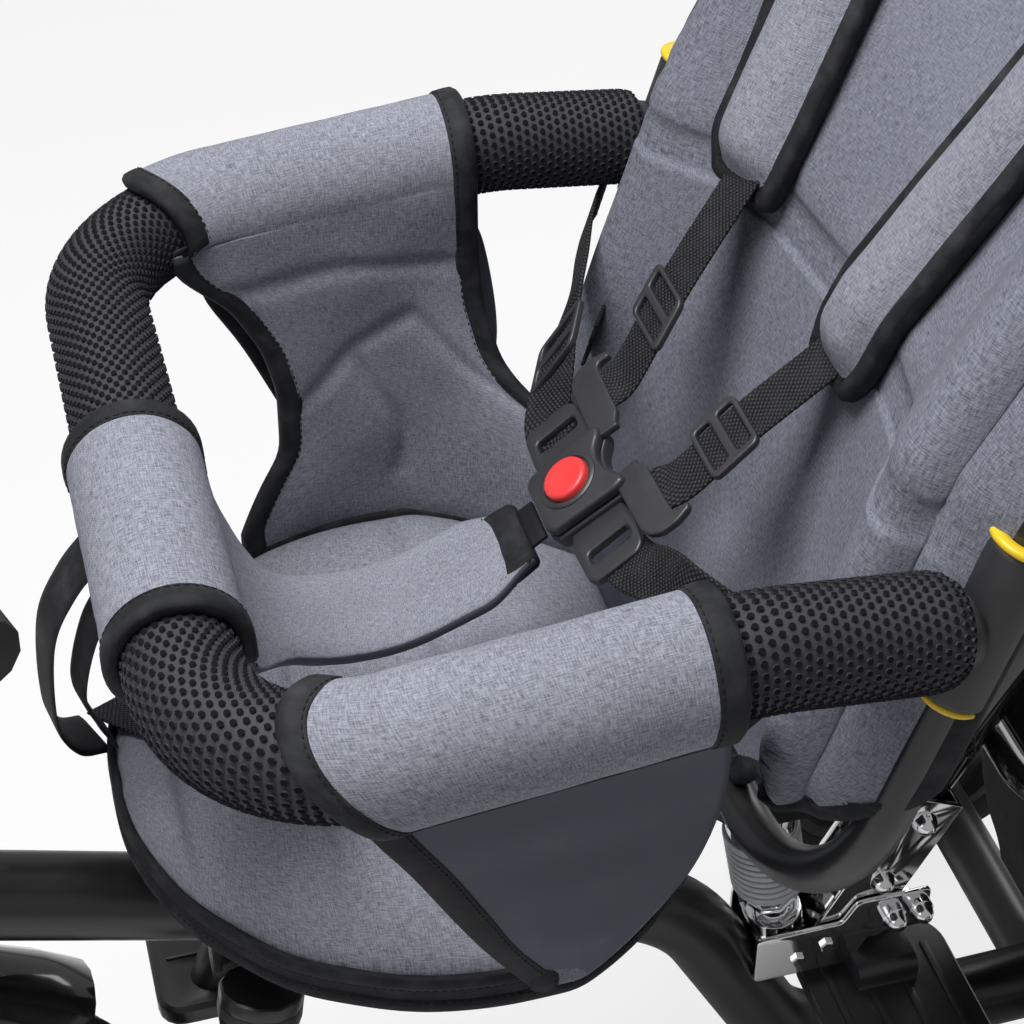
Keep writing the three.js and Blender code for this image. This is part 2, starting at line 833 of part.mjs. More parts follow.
// Chrome channel from the main tube back to the push handle, with the treadle's stud under it
function rearBracket() {
  const side = (inset) => {
    const low = bracketFloorZ + inset;
    const rear = bracketRearZ + inset;
    const top = bracketRearTopZ + inset * overrun;
    return outline([
      [mainTubeSeatY, low], [bracketStepY - bracketPlate, low], [bracketStepY + inset, rear],
      [bracketRearY + inset * overrun, rear], [bracketRearY + inset * overrun, top],
      [bracketStepY, top], [mainTubeSeatY, top - inset * overrun],
    ]);
  };
  const outer = sideways(plate(side(0), -bracketHalfWidth, bracketHalfWidth));
  const innerX = bracketHalfWidth - bracketPlate;
  const inner = sideways(plate(side(bracketPlate), -innerX, innerX));
  const tubeCut = tube(mainTubePath(), mainTubeR + fit, 12);
  const channel = largest(cut(outer, inner, tubeCut));
  const y = (treadleFrontY + treadleRearY) / 2;
  const hex = rod(treadleHexR, bracketRearZ - treadleHexHeight, bracketRearZ + bracketPlate / 2, 6);
  const stud = rod(treadleStudR, treadleTopZ - treadlePinR, bracketRearZ, 12);
  const pinHalf = treadlePinLength / 2;
  const pin = upright(rod(treadlePinR, -pinHalf, pinHalf, 12)).translate(0, 0, treadleTopZ);
  const hanging = join(hex.translate(0, y, 0), stud.translate(0, y, 0), pin.translate(0, y, 0));
  return join(channel, hanging);
}

const shockFrom = v3(0, shockLowY, shockLowZ);
const shockAxis = v3(0, shockTopY - shockLowY, shockTopZ - shockLowZ);
const shockLength = shockAxis.length();
const carrierFloorZ = shockTopZ + shockCapHeight * 0.6;

function shockFoot() {
  const innerX = bracketHalfWidth - bracketPlate - fit;
  const low = bracketFloorZ + bracketPlate + fit;
  const eye = block(-innerX, innerX, shockLowY - shockFootR, shockLowY + shockFootR / 2, low, shockLowZ + fit);
  const cup = along(rod(shockFootR, -fit, shockFootHeight, 16), shockFrom, shockAxis);
  const bore = along(rod(shockRodR + shockRodRoom, 0, shockFootHeight + overrun, 12), shockFrom, shockAxis);
  return cut(join(eye, cup), bore, tube(mainTubePath(), mainTubeR + fit, 12));
}

// The helix of the shock absorber's spring, on its own z axis
class SpringPath extends THREE.Curve {
  constructor(r, low, high, turns) {
    super();
    Object.assign(this, { r, low, high, turns });
  }
  getUtoTmapping(u) {
    return u;
  }
  getPoint(t, target = new THREE.Vector3()) {
    const a = t * this.turns * 2 * Math.PI;
    return target.set(this.r * Math.cos(a), this.r * Math.sin(a), lerp(this.low, this.high, t));
  }
}

const springLow = shockFootHeight + springWireR + fit;
const springHigh = shockLength - shockCapHeight - springWireR - fit;

function shockSpring() {
  const path = new SpringPath(springR, springLow, springHigh, springTurns);
  const pitch = (springHigh - springLow) / springTurns;
  console.log(`least gap between the spring's turns: ${(pitch - 2 * springWireR).toFixed(2)} mm`);
  const steps = springTurns * 8;
  const wire = new THREE.ExtrudeGeometry(ngon(springWireR, 5), { steps, extrudePath: path, bevelEnabled: false });
  return along(wire, shockFrom, shockAxis);
}

function shockCap() {
  const top = shockLength;
  const cap = dome(shockCapR, top - shockCapHeight, top + shockCapHeight / 2, 16);
  const lid = rod(shockCapR, top - shockCapHeight, top, 16);
  const shaft = rod(shockRodR, shockFootHeight + shockStroke + shockRodRoom, top, 10);
  const roof = carrierFloorZ - fit;
  const made = along(join(lid, cap, shaft), shockFrom, shockAxis);
  const above = block(-shockCapR * 2, shockCapR * 2, shockTopY - shockCapR * 2, shockTopY + shockCapR * 2,
    roof, roof + shockCapHeight * 3);
  return cut(made, above);
}

function shockSleeve() {
  const high = shockLength - fit;
  const low = high - shockSleeveLength;
  const outer = shockSleeveR;
  const bore = outer - shockSleeveWall;
  return along(rod(outer, low, high, 16, bore), shockFrom, shockAxis);
}

// Push handle

function pushSocket() {
  const innerX = pushLowerR + fit;
  const outerX = innerX + pushSocketPlate;
  const wide = pushSocketWidth / 2;
  const low = pushLowerBase - pushSpigotLength - pushLowerR;
  const high = pushLowerBase + pushSocketLength - pushLowerR;
  const body = block(-outerX, outerX, -wide, innerX + pushSocketPlate, low, high);
  const slot = block(-innerX, innerX, -wide - overrun, innerX, low - overrun, high + overrun);
  const nuts = [];
  for (const share of [0.42, 0.86]) {
    for (const side of [1, -1]) {
      const nut = dome(domeNutR, 0, domeNutHeight, 8);
      const place = lateral(nut).rotateY(side > 0 ? 0 : Math.PI);
      nuts.push(place.translate(side * (outerX - fit), 0, lerp(low, high, share)));
    }
  }
  const made = pushPlaced(join(cut(body, slot), ...nuts));
  const floor = bracketRearZ + bracketPlate + fit;
  const below = block(-outerX * 2, outerX * 2, -outerX * 4, outerX * 8, floor - pushSocketLength, floor);
  return largest(cut(made, below));
}

function pushTubeLower() {
  const inside = boreR(pushUpperR, 16);
  const top = pushLowerBase + pushLowerLength;
  const innerEnd = top - pushUpperInside - pushTravel - pushUpperR;
  const spigot = pushLowerBase - pushSpigotLength;
  const profile = [
    [0, spigot], [pushSpigotR, spigot], [pushSpigotR, pushLowerBase], [pushLowerR, pushLowerBase],
    [pushLowerR, top], [inside, top], [inside, innerEnd], [0, innerEnd],
  ];
  const made = pushPlaced(turned(profile, 16));
  const floor = bracketRearZ + bracketPlate + fit;
  const below = block(-pushLowerR * 2, pushLowerR * 2, -pushLowerR * 4, pushLowerR * 12, 0, floor);
  return cut(made, below);
}

const pushTop = pushLowerBase + pushLowerLength;

// Clamp collar of the push handle with its quick-release lever
function pushLock() {
  const low = pushTop - pushLockHeight / 2;
  const mid = pushTop;
  const high = pushTop + pushLockHeight / 2;
  const wide = boreR(pushLowerR, 14);
  const narrow = boreR(pushUpperR, 14);
  const edge = pushLockR - pushSocketPlate;
  const profile = [
    [wide, low], [edge, low], [pushLockR, low + pushSocketPlate], [pushLockR, high - pushSocketPlate],
    [edge, high], [narrow, high], [narrow, mid + fit], [wide, mid + fit], [wide, low],
  ];
  const collar = turned(profile, 14);
  const half = pushSocketPlate;
  const ears = block(-half * 2, half * 2, pushLockR - half, pushLockR + pushLockLever / 2, low + half, high - half);
  const slit = block(-half / 2, half / 2, pushLowerR, pushLockR + pushLockLever, low - overrun, high + overrun);
  const lever = plate(roundedRect(-half * 5, 0, half * 2, pushLockLever, half), low + half * 2, high - half * 2, 0, 3);
  const leverPlaced = lever.translate(-half, pushLockR + half, 0);
  const cutLever = block(-half / 2, half / 2, pushLockR, pushLockR + pushLockLever / 3, low, high);
  return pushPlaced(join(cut(join(collar, ears), slit), cut(leverPlaced, cutLever)));
}

const pushUpperLow = pushTop - pushUpperInside;
const pushUpperHigh = pushTop + pushUpperOutside;

// The sliding tube with its handle bar: a wide bow whose ends drop towards the child
function pushTubeUpper() {
  const post = rod(pushUpperR, pushUpperLow, pushUpperHigh, 16);
  const bow = tube(pushBowPath(), pushBarR, 10);
  return pushPlaced(join(post, bow));
}

function pushBowPath() {
  const corners = [
    v3(-pushBarHalf, -pushBarDrop, pushUpperHigh), v3(-pushBarHalf, 0, pushUpperHigh),
    v3(pushBarHalf, 0, pushUpperHigh), v3(pushBarHalf, -pushBarDrop, pushUpperHigh),
  ];
  return new BentPath(corners, [0, pushBarBend, pushBarBend, 0], 5);
}

function pushGrip(side) {
  const start = pushUpperR + fit * 2;
  const corners = [
    v3(side * start, 0, pushUpperHigh), v3(side * pushBarHalf, 0, pushUpperHigh),
    v3(side * pushBarHalf, -pushBarDrop - fit, pushUpperHigh),
  ];
  const path = new BentPath(corners, [0, pushBarBend, 0], 5);
  return pushPlaced(tube(path, pushGripR, 10, boreR(pushBarR, 10), 10));
}

// Brake treadle: a ribbed plate on a cross pin under the chrome stud

const treadleMidY = (treadleFrontY + treadleRearY) / 2;

function treadle() {
  const top = treadleTopZ;
  const low = top - treadleThickness;
  const face = roundedRect(treadleFarX, treadleFrontY, treadleNearX, treadleRearY, treadleCorner);
  const flat = plate(face, low, top, treadleRibHeight, 4);
  const wide = treadleBlockWidth / 2;
  const blockView = new THREE.Shape();
  blockView.moveTo(treadleFarX + treadleRibHeight, top - treadleThickness);
  blockView.lineTo(treadleFarX + treadleBlockLength, top - treadleThickness);
  blockView.absarc(
    treadleFarX + treadleBlockLength - treadleBlockHeight / 2, top + treadleBlockHeight / 2,
    treadleBlockHeight / 2, 0, Math.PI / 2, false,
  );
  blockView.lineTo(treadleFarX + treadleRibHeight, top + treadleBlockHeight);
  const raised = upright(plate(blockView, -treadleMidY - wide, -treadleMidY + wide, 0, 4));
  const ribs = [];
  for (let i = 0; i < treadleRibCount; i++) {
    const share = (i + 0.5) / treadleRibCount;
    const y = lerp(treadleFrontY + treadleRibWidth, treadleRearY - treadleRibWidth, share);
    const inBlock = Math.abs(y - treadleMidY) < wide + treadleRibWidth;
    const from = inBlock ? treadleFarX + treadleBlockLength + treadleRibWidth : treadleFarX + treadleCorner;
    ribs.push(block(from, treadleNearX - treadleCorner / 2, y - treadleRibWidth / 2, y + treadleRibWidth / 2,
      top - treadleRibHeight, top + treadleRibHeight));
  }
  const room = fit * 2;
  const neck = treadleStudR + room;
  const swing = treadleStudR + room + treadleBlockHeight * tan(treadleTilt);
  const slot = block(-swing, swing, treadleMidY - neck, treadleMidY + neck, low - overrun, top + treadleBlockHeight * 2);
  const pinHalf = treadlePinLength / 2 + fit;
  const pin = upright(rod(boreR(treadlePinR, 12), -pinHalf, pinHalf, 12)).translate(0, treadleMidY, treadleTopZ);
  return cut(join(flat, raised, ...ribs), slot, pin);
}

// Basket

const basketNoseY = pushY(basketRimZ) + (pushLowerR + fit + basketRimR) / Math.cos(rad(pushLean));
const basketNoseShare = 0.3;
const basketShoulderShare = 0.7;

// Half of the hoop's middle line, from the push handle round to the rear
function basketHalf(side, overlap) {
  const x = basketHalfWidth;
  const z = basketRimZ;
  const shoulder = basketNoseY + x * basketShoulderShare;
  const corners = [
    v3(-side * overlap, basketNoseY, z), v3(side * x * basketNoseShare, basketNoseY, z), v3(side * x, shoulder, z),
    v3(side * x, basketRearY, z), v3(-side * overlap, basketRearY, z),
  ];
  return new BentPath(corners, [0, x * basketNoseShare, basketCorner, basketCorner, 0], 4);
}

const basketRim = () => join(...[1, -1].map((side) => tube(basketHalf(side, overrun), basketRimR, 8)));

// Solid between a stack of rings with equal counts of points, closed at both ends
function loft(rings) {
  const n = rings[0].length;
  const places = rings.flat().flatMap((p) => [p.x, p.y, p.z]);
  const index = [];
  for (let j = 0; j < rings.length - 1; j++) {
    for (let i = 0; i < n; i++) {
      const a = j * n + i;
      const b = j * n + ((i + 1) % n);
      index.push(a, b, b + n, a, b + n, a + n);
    }
  }
  const lids = THREE.ShapeUtils.triangulateShape(rings[0].map((p) => new THREE.Vector2(p.x, p.y)), []);
  const last = (rings.length - 1) * n;
  for (const [a, b, c] of lids) {
    index.push(a, c, b, last + a, last + b, last + c);
  }
  const geometry = new THREE.BufferGeometry();
  geometry.setAttribute("position", new THREE.BufferAttribute(new Float32Array(places), 3));
  geometry.setIndex(index);
  return outward(geometry);
}

function basketBag() {
  const top = basketRimZ - basketRimR * 0.2;
  const ring = (inset, z) => {
    const offset = basketRimR + fit + inset;
    const inner = (side) => basketHalf(side, 0).stations.map(({ at, along: way }) =>
      v3(at.x - side * way.y * offset, at.y + side * way.x * offset, z));
    return [...inner(1), ...inner(-1).reverse().slice(1, -1)];
  };
  const low = top - basketDepth;
  return loft([
    ring(basketTaper + basketWall, low + basketWall), ring(basketTaper * 0.5 + basketWall, low + basketDepth * 0.25),
    ring(basketWall, top), ring(0, top), ring(basketTaper * 0.5, low + basketDepth * 0.25), ring(basketTaper, low),
  ]);
}

// Footrest

const footDirection = (side) =>
  v3(side * Math.sin(rad(footrestSplay)), -Math.sin(rad(footrestForward)), -Math.cos(rad(footrestSplay))).normalize();
const footFrom = (side) => v3(side * footrestX, footrestY, footrestTopZ);
const footEyeLow = footrestCapHeight + fit + footrestPlate;
const footPinR = footrestTubeR * 0.7;
const footTubeStart = footEyeLow + fit + footrestFunnel;
const footTubeEnd = footTubeStart + footrestTubeLength;

function footrestBracket() {
  const wide = footrestX + footrestCapR * 0.3;
  const z = mainTubeZ(footrestY);
  const low = footrestTopZ - footrestCapHeight - footrestPlate;
  const web = block(-footrestPlate, footrestPlate, footrestY - footrestCapR, footrestY + footrestCapR, low, z);
  const saddle = block(-mainTubeR * 0.8, mainTubeR * 0.8, footrestY - footrestCapR, footrestY + footrestCapR,
    footrestTopZ + fit * 2, z);
  const parts = [web, saddle];
  for (const side of [1, -1]) {
    const eye = rod(footrestCapR, footrestCapHeight + fit, footEyeLow, 12);
    parts.push(along(eye, footFrom(side), footDirection(side)));
    const arm = block(side > 0 ? 0 : -wide, side > 0 ? wide : 0, footrestY - footrestPlate, footrestY + footrestPlate,
      -footEyeLow, -footrestCapHeight - fit);
    parts.push(arm.translate(0, 0, footrestTopZ));
  }
  let made = join(...parts);
  const tools = [tube(mainTubePath(), mainTubeR + fit, 12)];
  for (const side of [1, -1]) {
    const from = footFrom(side);
    const down = footDirection(side);
    tools.push(along(rod(boreR(footPinR, 12), -overrun, footEyeLow + overrun, 12), from, down));
    tools.push(along(rod(boreR(footrestCapR, 12), -footrestCapR, footrestCapHeight, 12), from, down));
    tools.push(along(rod(boreR(footrestCapR, 12), footEyeLow, footEyeLow + footrestFunnel, 12), from, down));
  }
  return largest(cut(made, ...tools));
}

function footrestLeg(side) {
  const neckLow = footEyeLow + fit;
  const profile = [
    [0, 0], [footrestCapR - fit * 4, 0], [footrestCapR, fit * 4], [footrestCapR, footrestCapHeight], [footPinR, footrestCapHeight],
    [footPinR, neckLow], [footrestCapR, neckLow], [footrestCapR - fit * 6, neckLow + footrestFunnel * 0.4],
    [footrestTubeR + fit * 6, footTubeStart], [footrestTubeR, footTubeStart], [footrestTubeR, footTubeEnd], [0, footTubeEnd],
  ];
  const leg = along(turned(profile, 12), footFrom(side), footDirection(side));
  return join(leg, footPeg(side));
}

function footPeg(side) {
  const end = footFrom(side).addScaledVector(footDirection(side), footTubeEnd - footPegThickness / 2);
  const half = footPegWidth / 2;
  const inner = -footrestTubeR * 2;
  const face = roundedRect(inner, -half, inner + footPegLength, half, half * 0.45);
  const flat = plate(face, -footPegThickness / 2, footPegThickness / 2, pedalRibHeight, 2);
  const ribs = [];
  for (let i = 0; i < footPegRibCount; i++) {
    const x = lerp(inner + footPegLength * 0.42, inner + footPegLength * 0.9, i / (footPegRibCount - 1));
    const wide = pedalRibWidth / 3;
    ribs.push(block(x - wide, x + wide, -half * 0.7, half * 0.7, 0, footPegThickness / 2 + pedalRibHeight));
  }
  const made = join(flat, ...ribs);
  if (side < 0) {
    made.rotateZ(Math.PI);
  }
  return made.translate(end.x, end.y, end.z);
}

// Seat unit

const shellUnderZ = shellTopZ - shellWall;
const planeY = (z) => backFrameY + (z - clampZ) * tan(backLean)
  + Math.max(z - backReclineZ, 0) * (tan(backRecline) - tan(backLean));

function shellOutline(inset) {
  const s = new THREE.Shape();
  const x = shellHalfWidth - inset;
  const front = shellFrontY + inset;
  const rear = shellRearY - inset;
  const r = shellCorner - inset;
  const rearR = shellRearCorner - inset;
  s.moveTo(-x + r, front);
  s.lineTo(x - r, front);
  s.absarc(x - r, front + r, r, -Math.PI / 2, 0);
  s.lineTo(x, rear - rearR);
  s.absarc(x - rearR, rear - rearR, rearR, 0, Math.PI / 2);
  s.lineTo(-x + rearR, rear);
  s.absarc(-x + rearR, rear - rearR, rearR, Math.PI / 2, Math.PI);
  s.lineTo(-x, front + r);
  s.absarc(-x + r, front + r, r, Math.PI, 1.5 * Math.PI);
  return s;
}

const crossBarY = planeY(backFrameLowZ);
const saddleX = shellHalfWidth * 0.45;

// A pressed tray turned over, with two saddles under the back frame's cross bar
function seatShell() {
  const low = shellTopZ - shellDepth;
  const outer = plate(shellOutline(0), low, shellTopZ + shellEdge, shellEdge, 4, 2);
  const trim = block(-shellHalfWidth * 2, shellHalfWidth * 2, shellFrontY * 2, -shellFrontY, shellTopZ, shellTopZ * 2);
  const hollow = plate(shellOutline(shellWall + shellEdge / 2), low - overrun, shellUnderZ, 0, 4);
  const parts = [cut(outer, trim, hollow)];
  for (const side of [1, -1]) {
    const x = side * saddleX;
    parts.push(block(x - carrierHalfWidth, x + carrierHalfWidth, crossBarY - backFrameR, crossBarY + backFrameR,
      shellUnderZ, backFrameLowZ));
  }
  const bar = lateral(rod(boreR(backFrameR, 16), -shellHalfWidth, shellHalfWidth, 16)).translate(0, crossBarY, backFrameLowZ);
  return cut(join(...parts), bar);
}

// Formed steel channel that carries the shell, pivots on the ears and rests on the shock absorber
function seatCarrier() {
  const top = shellUnderZ - fit;
  const rearTop = shellTopZ - shellDepth - overrun;
  const rear = shockTopY + shockCapR;
  const floor = carrierFloorZ;
  const nearHinge = hingeZ - hingePinR * 2;
  const carrierStepY = shellRearY - shellWall - shellEdge - overrun;
  const view = outline([
    [hingeY - earR, nearHinge], [hingeY + earR, nearHinge], [hingeY + earR * 3, hingeZ + earR],
    [shockTopY - shockCapR * 3, hingeZ + earR], [shockTopY - shockCapR, floor], [rear, floor],
    [rear, rearTop], [carrierStepY, rearTop], [carrierStepY - overrun, top], [carrierFrontY, top], [carrierFrontY, top - carrierDepth / 2],
  ]);
  const half = carrierHalfWidth;
  const body = sideways(plate(view, -half, half));
  const inner = half - carrierThickness;
  const wall = carrierThickness;
  const hollow = block(-inner, inner, carrierFrontY - overrun, shockTopY - shockCapR * 2, 0, rearTop - wall);
  const rearHollow = block(-inner, inner, shockTopY - shockCapR * 3, rear + overrun, floor + wall, rearTop - wall);
  const pin = lateral(rod(hingePinR, -earInnerX - earThickness, earInnerX + earThickness, 14)).translate(0, hingeY, hingeZ);
  return join(cut(body, hollow, rearHollow), pin);
}

function backFrame() {
  const half = (side) => {
    const x = side * backFrameX;
    const corners = [
      v3(-side, planeY(backFrameTopZ), backFrameTopZ), v3(x, planeY(backFrameTopZ), backFrameTopZ),
      v3(x, planeY(backReclineZ), backReclineZ), v3(x, crossBarY, backFrameLowZ), v3(-side, crossBarY, backFrameLowZ),
    ];
    return tube(new BentPath(corners, [0, backFrameBend * 1.5, backReclineBend, backFrameBend, 0], 4), backFrameR, 10);
  };
  return join(half(1), half(-1));
}

// Moves a piece drawn round the back frame's leg to its clamp
const clampPlaced = (geometry, side) =>
  geometry.rotateX(-rad(backLean)).translate(side * backFrameX, planeY(clampZ), clampZ);

const bushR = boreR(backFrameR, 14) + bushWall;

// Yellow bush on the leg, whose flanges show as a ring above and below the clamp
function clampBush(side) {
  const bore = boreR(backFrameR, 14);
  const flange = bushR + bushFlange;
  const lowFlange = bushR + bushLowFlange;
  const low = -bushBelow;
  const high = bushAbove;
  const profile = [
    [bore, low], [lowFlange, low], [lowFlange, low + bushFlangeHeight], [bushR, low + bushFlangeHeight],
    [bushR, high - bushFlangeHeight], [flange, high - bushFlangeHeight], [flange, high], [bore, high], [bore, low],
  ];
  return clampPlaced(turned(profile, 14), side);
}

const ringRise = ringRiseLength * tan(ringRiseAngle);
const ringFrontZ = clampZ + ringRise - (ringLength - ringRiseLength) * tan(ringFallAngle);
const ringRiseBend = ringCorner * 2;
const ringLineZ = (y) => (y > -ringRiseLength
  ? clampZ - y * tan(ringRiseAngle)
  : clampZ + ringRise - (-y - ringRiseLength) * tan(ringFallAngle));

// Height of the guard ring's middle line, with the bend at its highest place
function ringZ(y) {
  const bendReach = ringRiseBend * tan((ringRiseAngle + ringFallAngle) / 2);
  const inBend = Math.max(bendReach - Math.abs(y + ringRiseLength), 0);
  return ringLineZ(y) - inBend ** 2 / (2 * ringRiseBend);
}

function ringPath(start) {
  const x = ringHalfWidth;
  const corners = [
    v3(x, -start, ringLineZ(-start)), v3(x, -ringRiseLength, clampZ + ringRise), v3(x, -ringLength, ringFrontZ),
    v3(-x, -ringLength, ringFrontZ), v3(-x, -ringRiseLength, clampZ + ringRise), v3(-x, -start, ringLineZ(-start)),
  ];
  return new BentPath(corners, [0, ringRiseBend, ringCorner, ringCorner, ringRiseBend, 0], 6);
}

const clampR = boreR(bushR, 14) + clampWall;
const ringEarStart = clampR + clampEarLength;

// Black clamp round the bush, with the socket that holds the guard ring's end
function clampSleeve(side) {
  const low = -bushBelow + bushFlangeHeight + fit;
  const high = bushAbove - bushFlangeHeight - fit;
  const sleeve = clampPlaced(rod(clampR, low, high, 12), side);
  const from = v3(side * ringHalfWidth, planeY(clampZ), clampZ);
  const forward = v3(0, -1, tan(ringRiseAngle));
  const ear = along(rod(clampEarR, 0, ringEarStart, 12), from, forward);
  const bush = clampPlaced(rod(boreR(bushR, 14), -bushBelow - overrun, bushAbove + overrun, 14), side);
  const socket = along(rod(boreR(ringTubeR, 8), clampR / 2, ringEarStart + overrun, 8), from, forward);
  return largest(cut(join(sleeve, ear), bush, socket));
}

function ringTube() {
  const start = bushR + fit * 4;
  return tube(ringPath(start), ringTubeR, 8);
}

function ringFoam() {
  return tube(ringPath(ringEarStart + fit * 3), ringFoamR, 10, boreR(ringTubeR, 8), 8);
}

// Middle of the guard ring beside the child at a place along y, and the way out from it
function ringSide(side, y) {
  const bendStart = -(ringLength - ringCorner);
  const past = Math.max(bendStart - y, 0);
  const beta = Math.asin(Math.min(past / ringCorner, 1));
  const x = ringHalfWidth - ringCorner * (1 - Math.cos(beta));
  return { at: v3(side * x, y, ringZ(y)), out: v3(side * Math.cos(beta), -Math.sin(beta), 0) };
}

const wrapStartAngle = -78;
const wrapEndAngle = 183;
const wrapShare = 0.5;
const wrapTopShare = (90 - wrapStartAngle) / (wrapEndAngle - wrapStartAngle);

function wrapPoint(centre, out, share, gap) {
  const a = rad(lerp(wrapStartAngle, wrapEndAngle, share));
  const wrapR = ringFoamR + gap + wrapCloth / 2;
  return centre.clone().addScaledVector(out, wrapR * Math.cos(a)).add(v3(0, 0, wrapR * Math.sin(a)));
}

// Cloth from round the guard ring down past the seat: an hourglass seen from the side
function sidePanel(side) {
  const seatZ = shellTopZ + padThickness;
  const point = (u, v) => {
    if (v <= wrapShare) {
      const share = v / wrapShare;
      const toTop = lerp(wrapOuterFrontY, wrapTopFrontY, smooth(share / wrapTopShare));
      const frontY = lerp(toTop, wrapFrontY, smooth((share - wrapTopShare) / (1 - wrapTopShare)));
      const ring = ringSide(side, lerp(wrapRearY, frontY, u));
      return wrapPoint(ring.at, ring.out, share, wrapGap);
    }
    const t = (v - wrapShare) / (1 - wrapShare);
    const rearTop = wrapRearY;
    const toWaist = smooth(t / 0.5);
    const toSeat = smooth((t - 0.5) / 0.3);
    const rear = lerp(lerp(rearTop, wingWaistRearY, toWaist), wingSeatRearY, toSeat);
    const front = lerp(lerp(wrapFrontY, wingWaistFrontY, toWaist), wingSeatFrontY, toSeat)
      + smooth((t - 0.85) / 0.15) * (wingWaistFrontY - wingSeatFrontY);
    const y = lerp(rear, front, u);
    const ring = ringSide(side, Math.max(y, wrapFrontY));
    const start = wrapPoint(ring.at, ring.out, 1, wrapGap);
    const waistX = lerp(wingSeatX, Math.abs(start.x), 0.4);
    const x = t < 0.5
      ? lerp(Math.abs(start.x), waistX, smooth(t / 0.5))
      : lerp(waistX, lerp(wingSeatX, wingHemX, smooth((t - 0.8) / 0.2)), smooth((t - 0.5) / 0.3));
    const z = t < 0.8 ? lerp(start.z, seatZ, t / 0.8) : lerp(seatZ, wingHemZ, (t - 0.8) / 0.2);
    const past = Math.max(padFrontY + padCorner - y, 0);
    const roundSeat = padCorner - Math.sqrt(padCorner ** 2 - past ** 2);
    return v3(side * (x - roundSeat * toSeat), y, z);
  };
  const quilt = (u, v) => (v > wrapShare ? 1 - 0.3 * Math.cos(6 * Math.PI * u) ** 8 : 1);
  return sheet(8, 16, point, (u, v) => wrapCloth * quilt(u, v));
}

// Cloth round the front of the guard ring that runs down and back between the child's legs
function frontPanel() {
  const centre = v3(frontWrapX, -ringLength, ringFrontZ);
  const out = v3(0, -1, 0);
  const start = wrapPoint(centre, out, 1, frontWrapGap);
  const end = v3(0, crotchEndY, buckleZ - buckleSize * 0.5);
  const curve = new THREE.CubicBezierCurve3(start, v3(frontWrapX, start.y, crotchDropZ), v3(0, crotchLowY, crotchLowZ), end);
  const point = (u, v) => {
    const s = 2 * u - 1;
    if (v <= wrapShare) {
      return wrapPoint(centre, out, v / wrapShare, frontWrapGap).add(v3(s * frontWrapHalf, 0, 0));
    }
    const t = (v - wrapShare) / (1 - wrapShare);
    const half = lerp(frontWrapHalf, crotchHalf, smooth(t / 0.4)) * (1 - 0.35 * smooth((t - 0.88) / 0.12));
    return curve.getPoint(t).add(v3(s * half, 0, 0));
  };
  const pad = (u, v) => {
    const t = clamp01((v - wrapShare) / (1 - wrapShare));
    const crown = 1 - Math.abs(2 * u - 1) ** 4;
    return wrapCloth * (1 + 1.6 * crown * smooth((t - 0.15) / 0.3) * (1 - smooth((t - 0.9) / 0.1)));
  };
  return sheet(6, 16, point, pad);
}

function seatPad() {
  const point = (u, v) => {
    const y = lerp(padRearY, padFrontY, v);
    const fromFront = y - padFrontY;
    const fromRear = padRearY - y;
    const round = (d, r) => (d < r ? r - Math.sqrt(Math.max(r * r - (r - d) ** 2, 0)) : 0);
    const half = padHalfWidth - round(fromFront, padCorner) - round(fromRear, padRearCorner);
    return v3((2 * u - 1) * half, y, shellTopZ + fit + thick(u, v) / 2);
  };
  const thick = (u, v) => {
    const crown = (1 - Math.abs(2 * u - 1) ** 4) * (1 - Math.abs(2 * v - 1) ** 5);
    const channel = Math.max(0, Math.cos(4 * Math.PI * v)) ** 24 * padChannel * (Math.abs(v - 0.5) < 0.4 ? 1 : 0);
    return lerp(padEdge, padThickness, crown) - channel * crown;
  };
  return sheet(8, 14, point, thick, v3(0, 0, 1));
}

const skirtTuckShare = 0.02;
const skirtRowShare = 1 / 3;

function frontSkirt() {
  const half = padHalfWidth + skirtGap + wrapCloth + skirtCloth;
  const front = padFrontY - fit * 6 - skirtCloth / 2;
  const r = padCorner + skirtGap;
  const path = new THREE.CurvePath();
  path.add(new THREE.LineCurve(v2(-half, skirtRearY), v2(-half, front + r)));
  path.add(new THREE.EllipseCurve(r - half, front + r, r, r, Math.PI, 1.5 * Math.PI));
  path.add(new THREE.LineCurve(v2(r - half, front), v2(half - r, front)));
  path.add(new THREE.EllipseCurve(half - r, front + r, r, r, 1.5 * Math.PI, 2 * Math.PI));
  path.add(new THREE.LineCurve(v2(half, front + r), v2(half, skirtRearY)));
  const top = shellTopZ + padEdge;
  const point = (u, v) => {
    const at = path.getPointAt(u);
    const tuck = 1 - skirtTuckShare * smooth((v - skirtRowShare) / (1 - skirtRowShare));
    const hem = lerp(wingHemZ, skirtHemZ, smooth((1 - Math.abs(2 * u - 1)) * 2));
    const middle = (padRearY + padFrontY) / 2;
    return v3(at.x, middle + (at.y - middle) * tuck, lerp(top, hem, v));
  };
  return sheet(20, 3, point, () => skirtCloth);
}

const backPadEdgeShare = 0.4;
const backPadLowZ = backFrameLowZ + backFrameR + fit + (backPadThickness * backPadEdgeShare * Math.sin(rad(backLean))) / 2;
const backPadTuckShare = 0.09;
const backShare = (z) => (z - backPadLowZ) / (backPadTopZ - backPadLowZ);

// Middle of the back pad's cushion in y, where s goes from -1 to 1 across it
function backMiddleY(s, z) {
  const forward = (backPadThickness / 2 + backPadGap - backFrameR) * smooth(backShare(z) / 0.12);
  const sling = smooth(backShare(z) / 0.3) * (1 - smooth((backShare(z) - 0.85) / 0.15));
  return planeY(z) - forward + backPadSag * (1 - s ** 2) * sling - backPadWing * Math.abs(s) ** 3 * smooth(backShare(z) / 0.3);
}

const backFaceY = (x, z) => backMiddleY(x / backPadHalf, z) - backPadThickness / 2 / Math.cos(rad(backRecline));

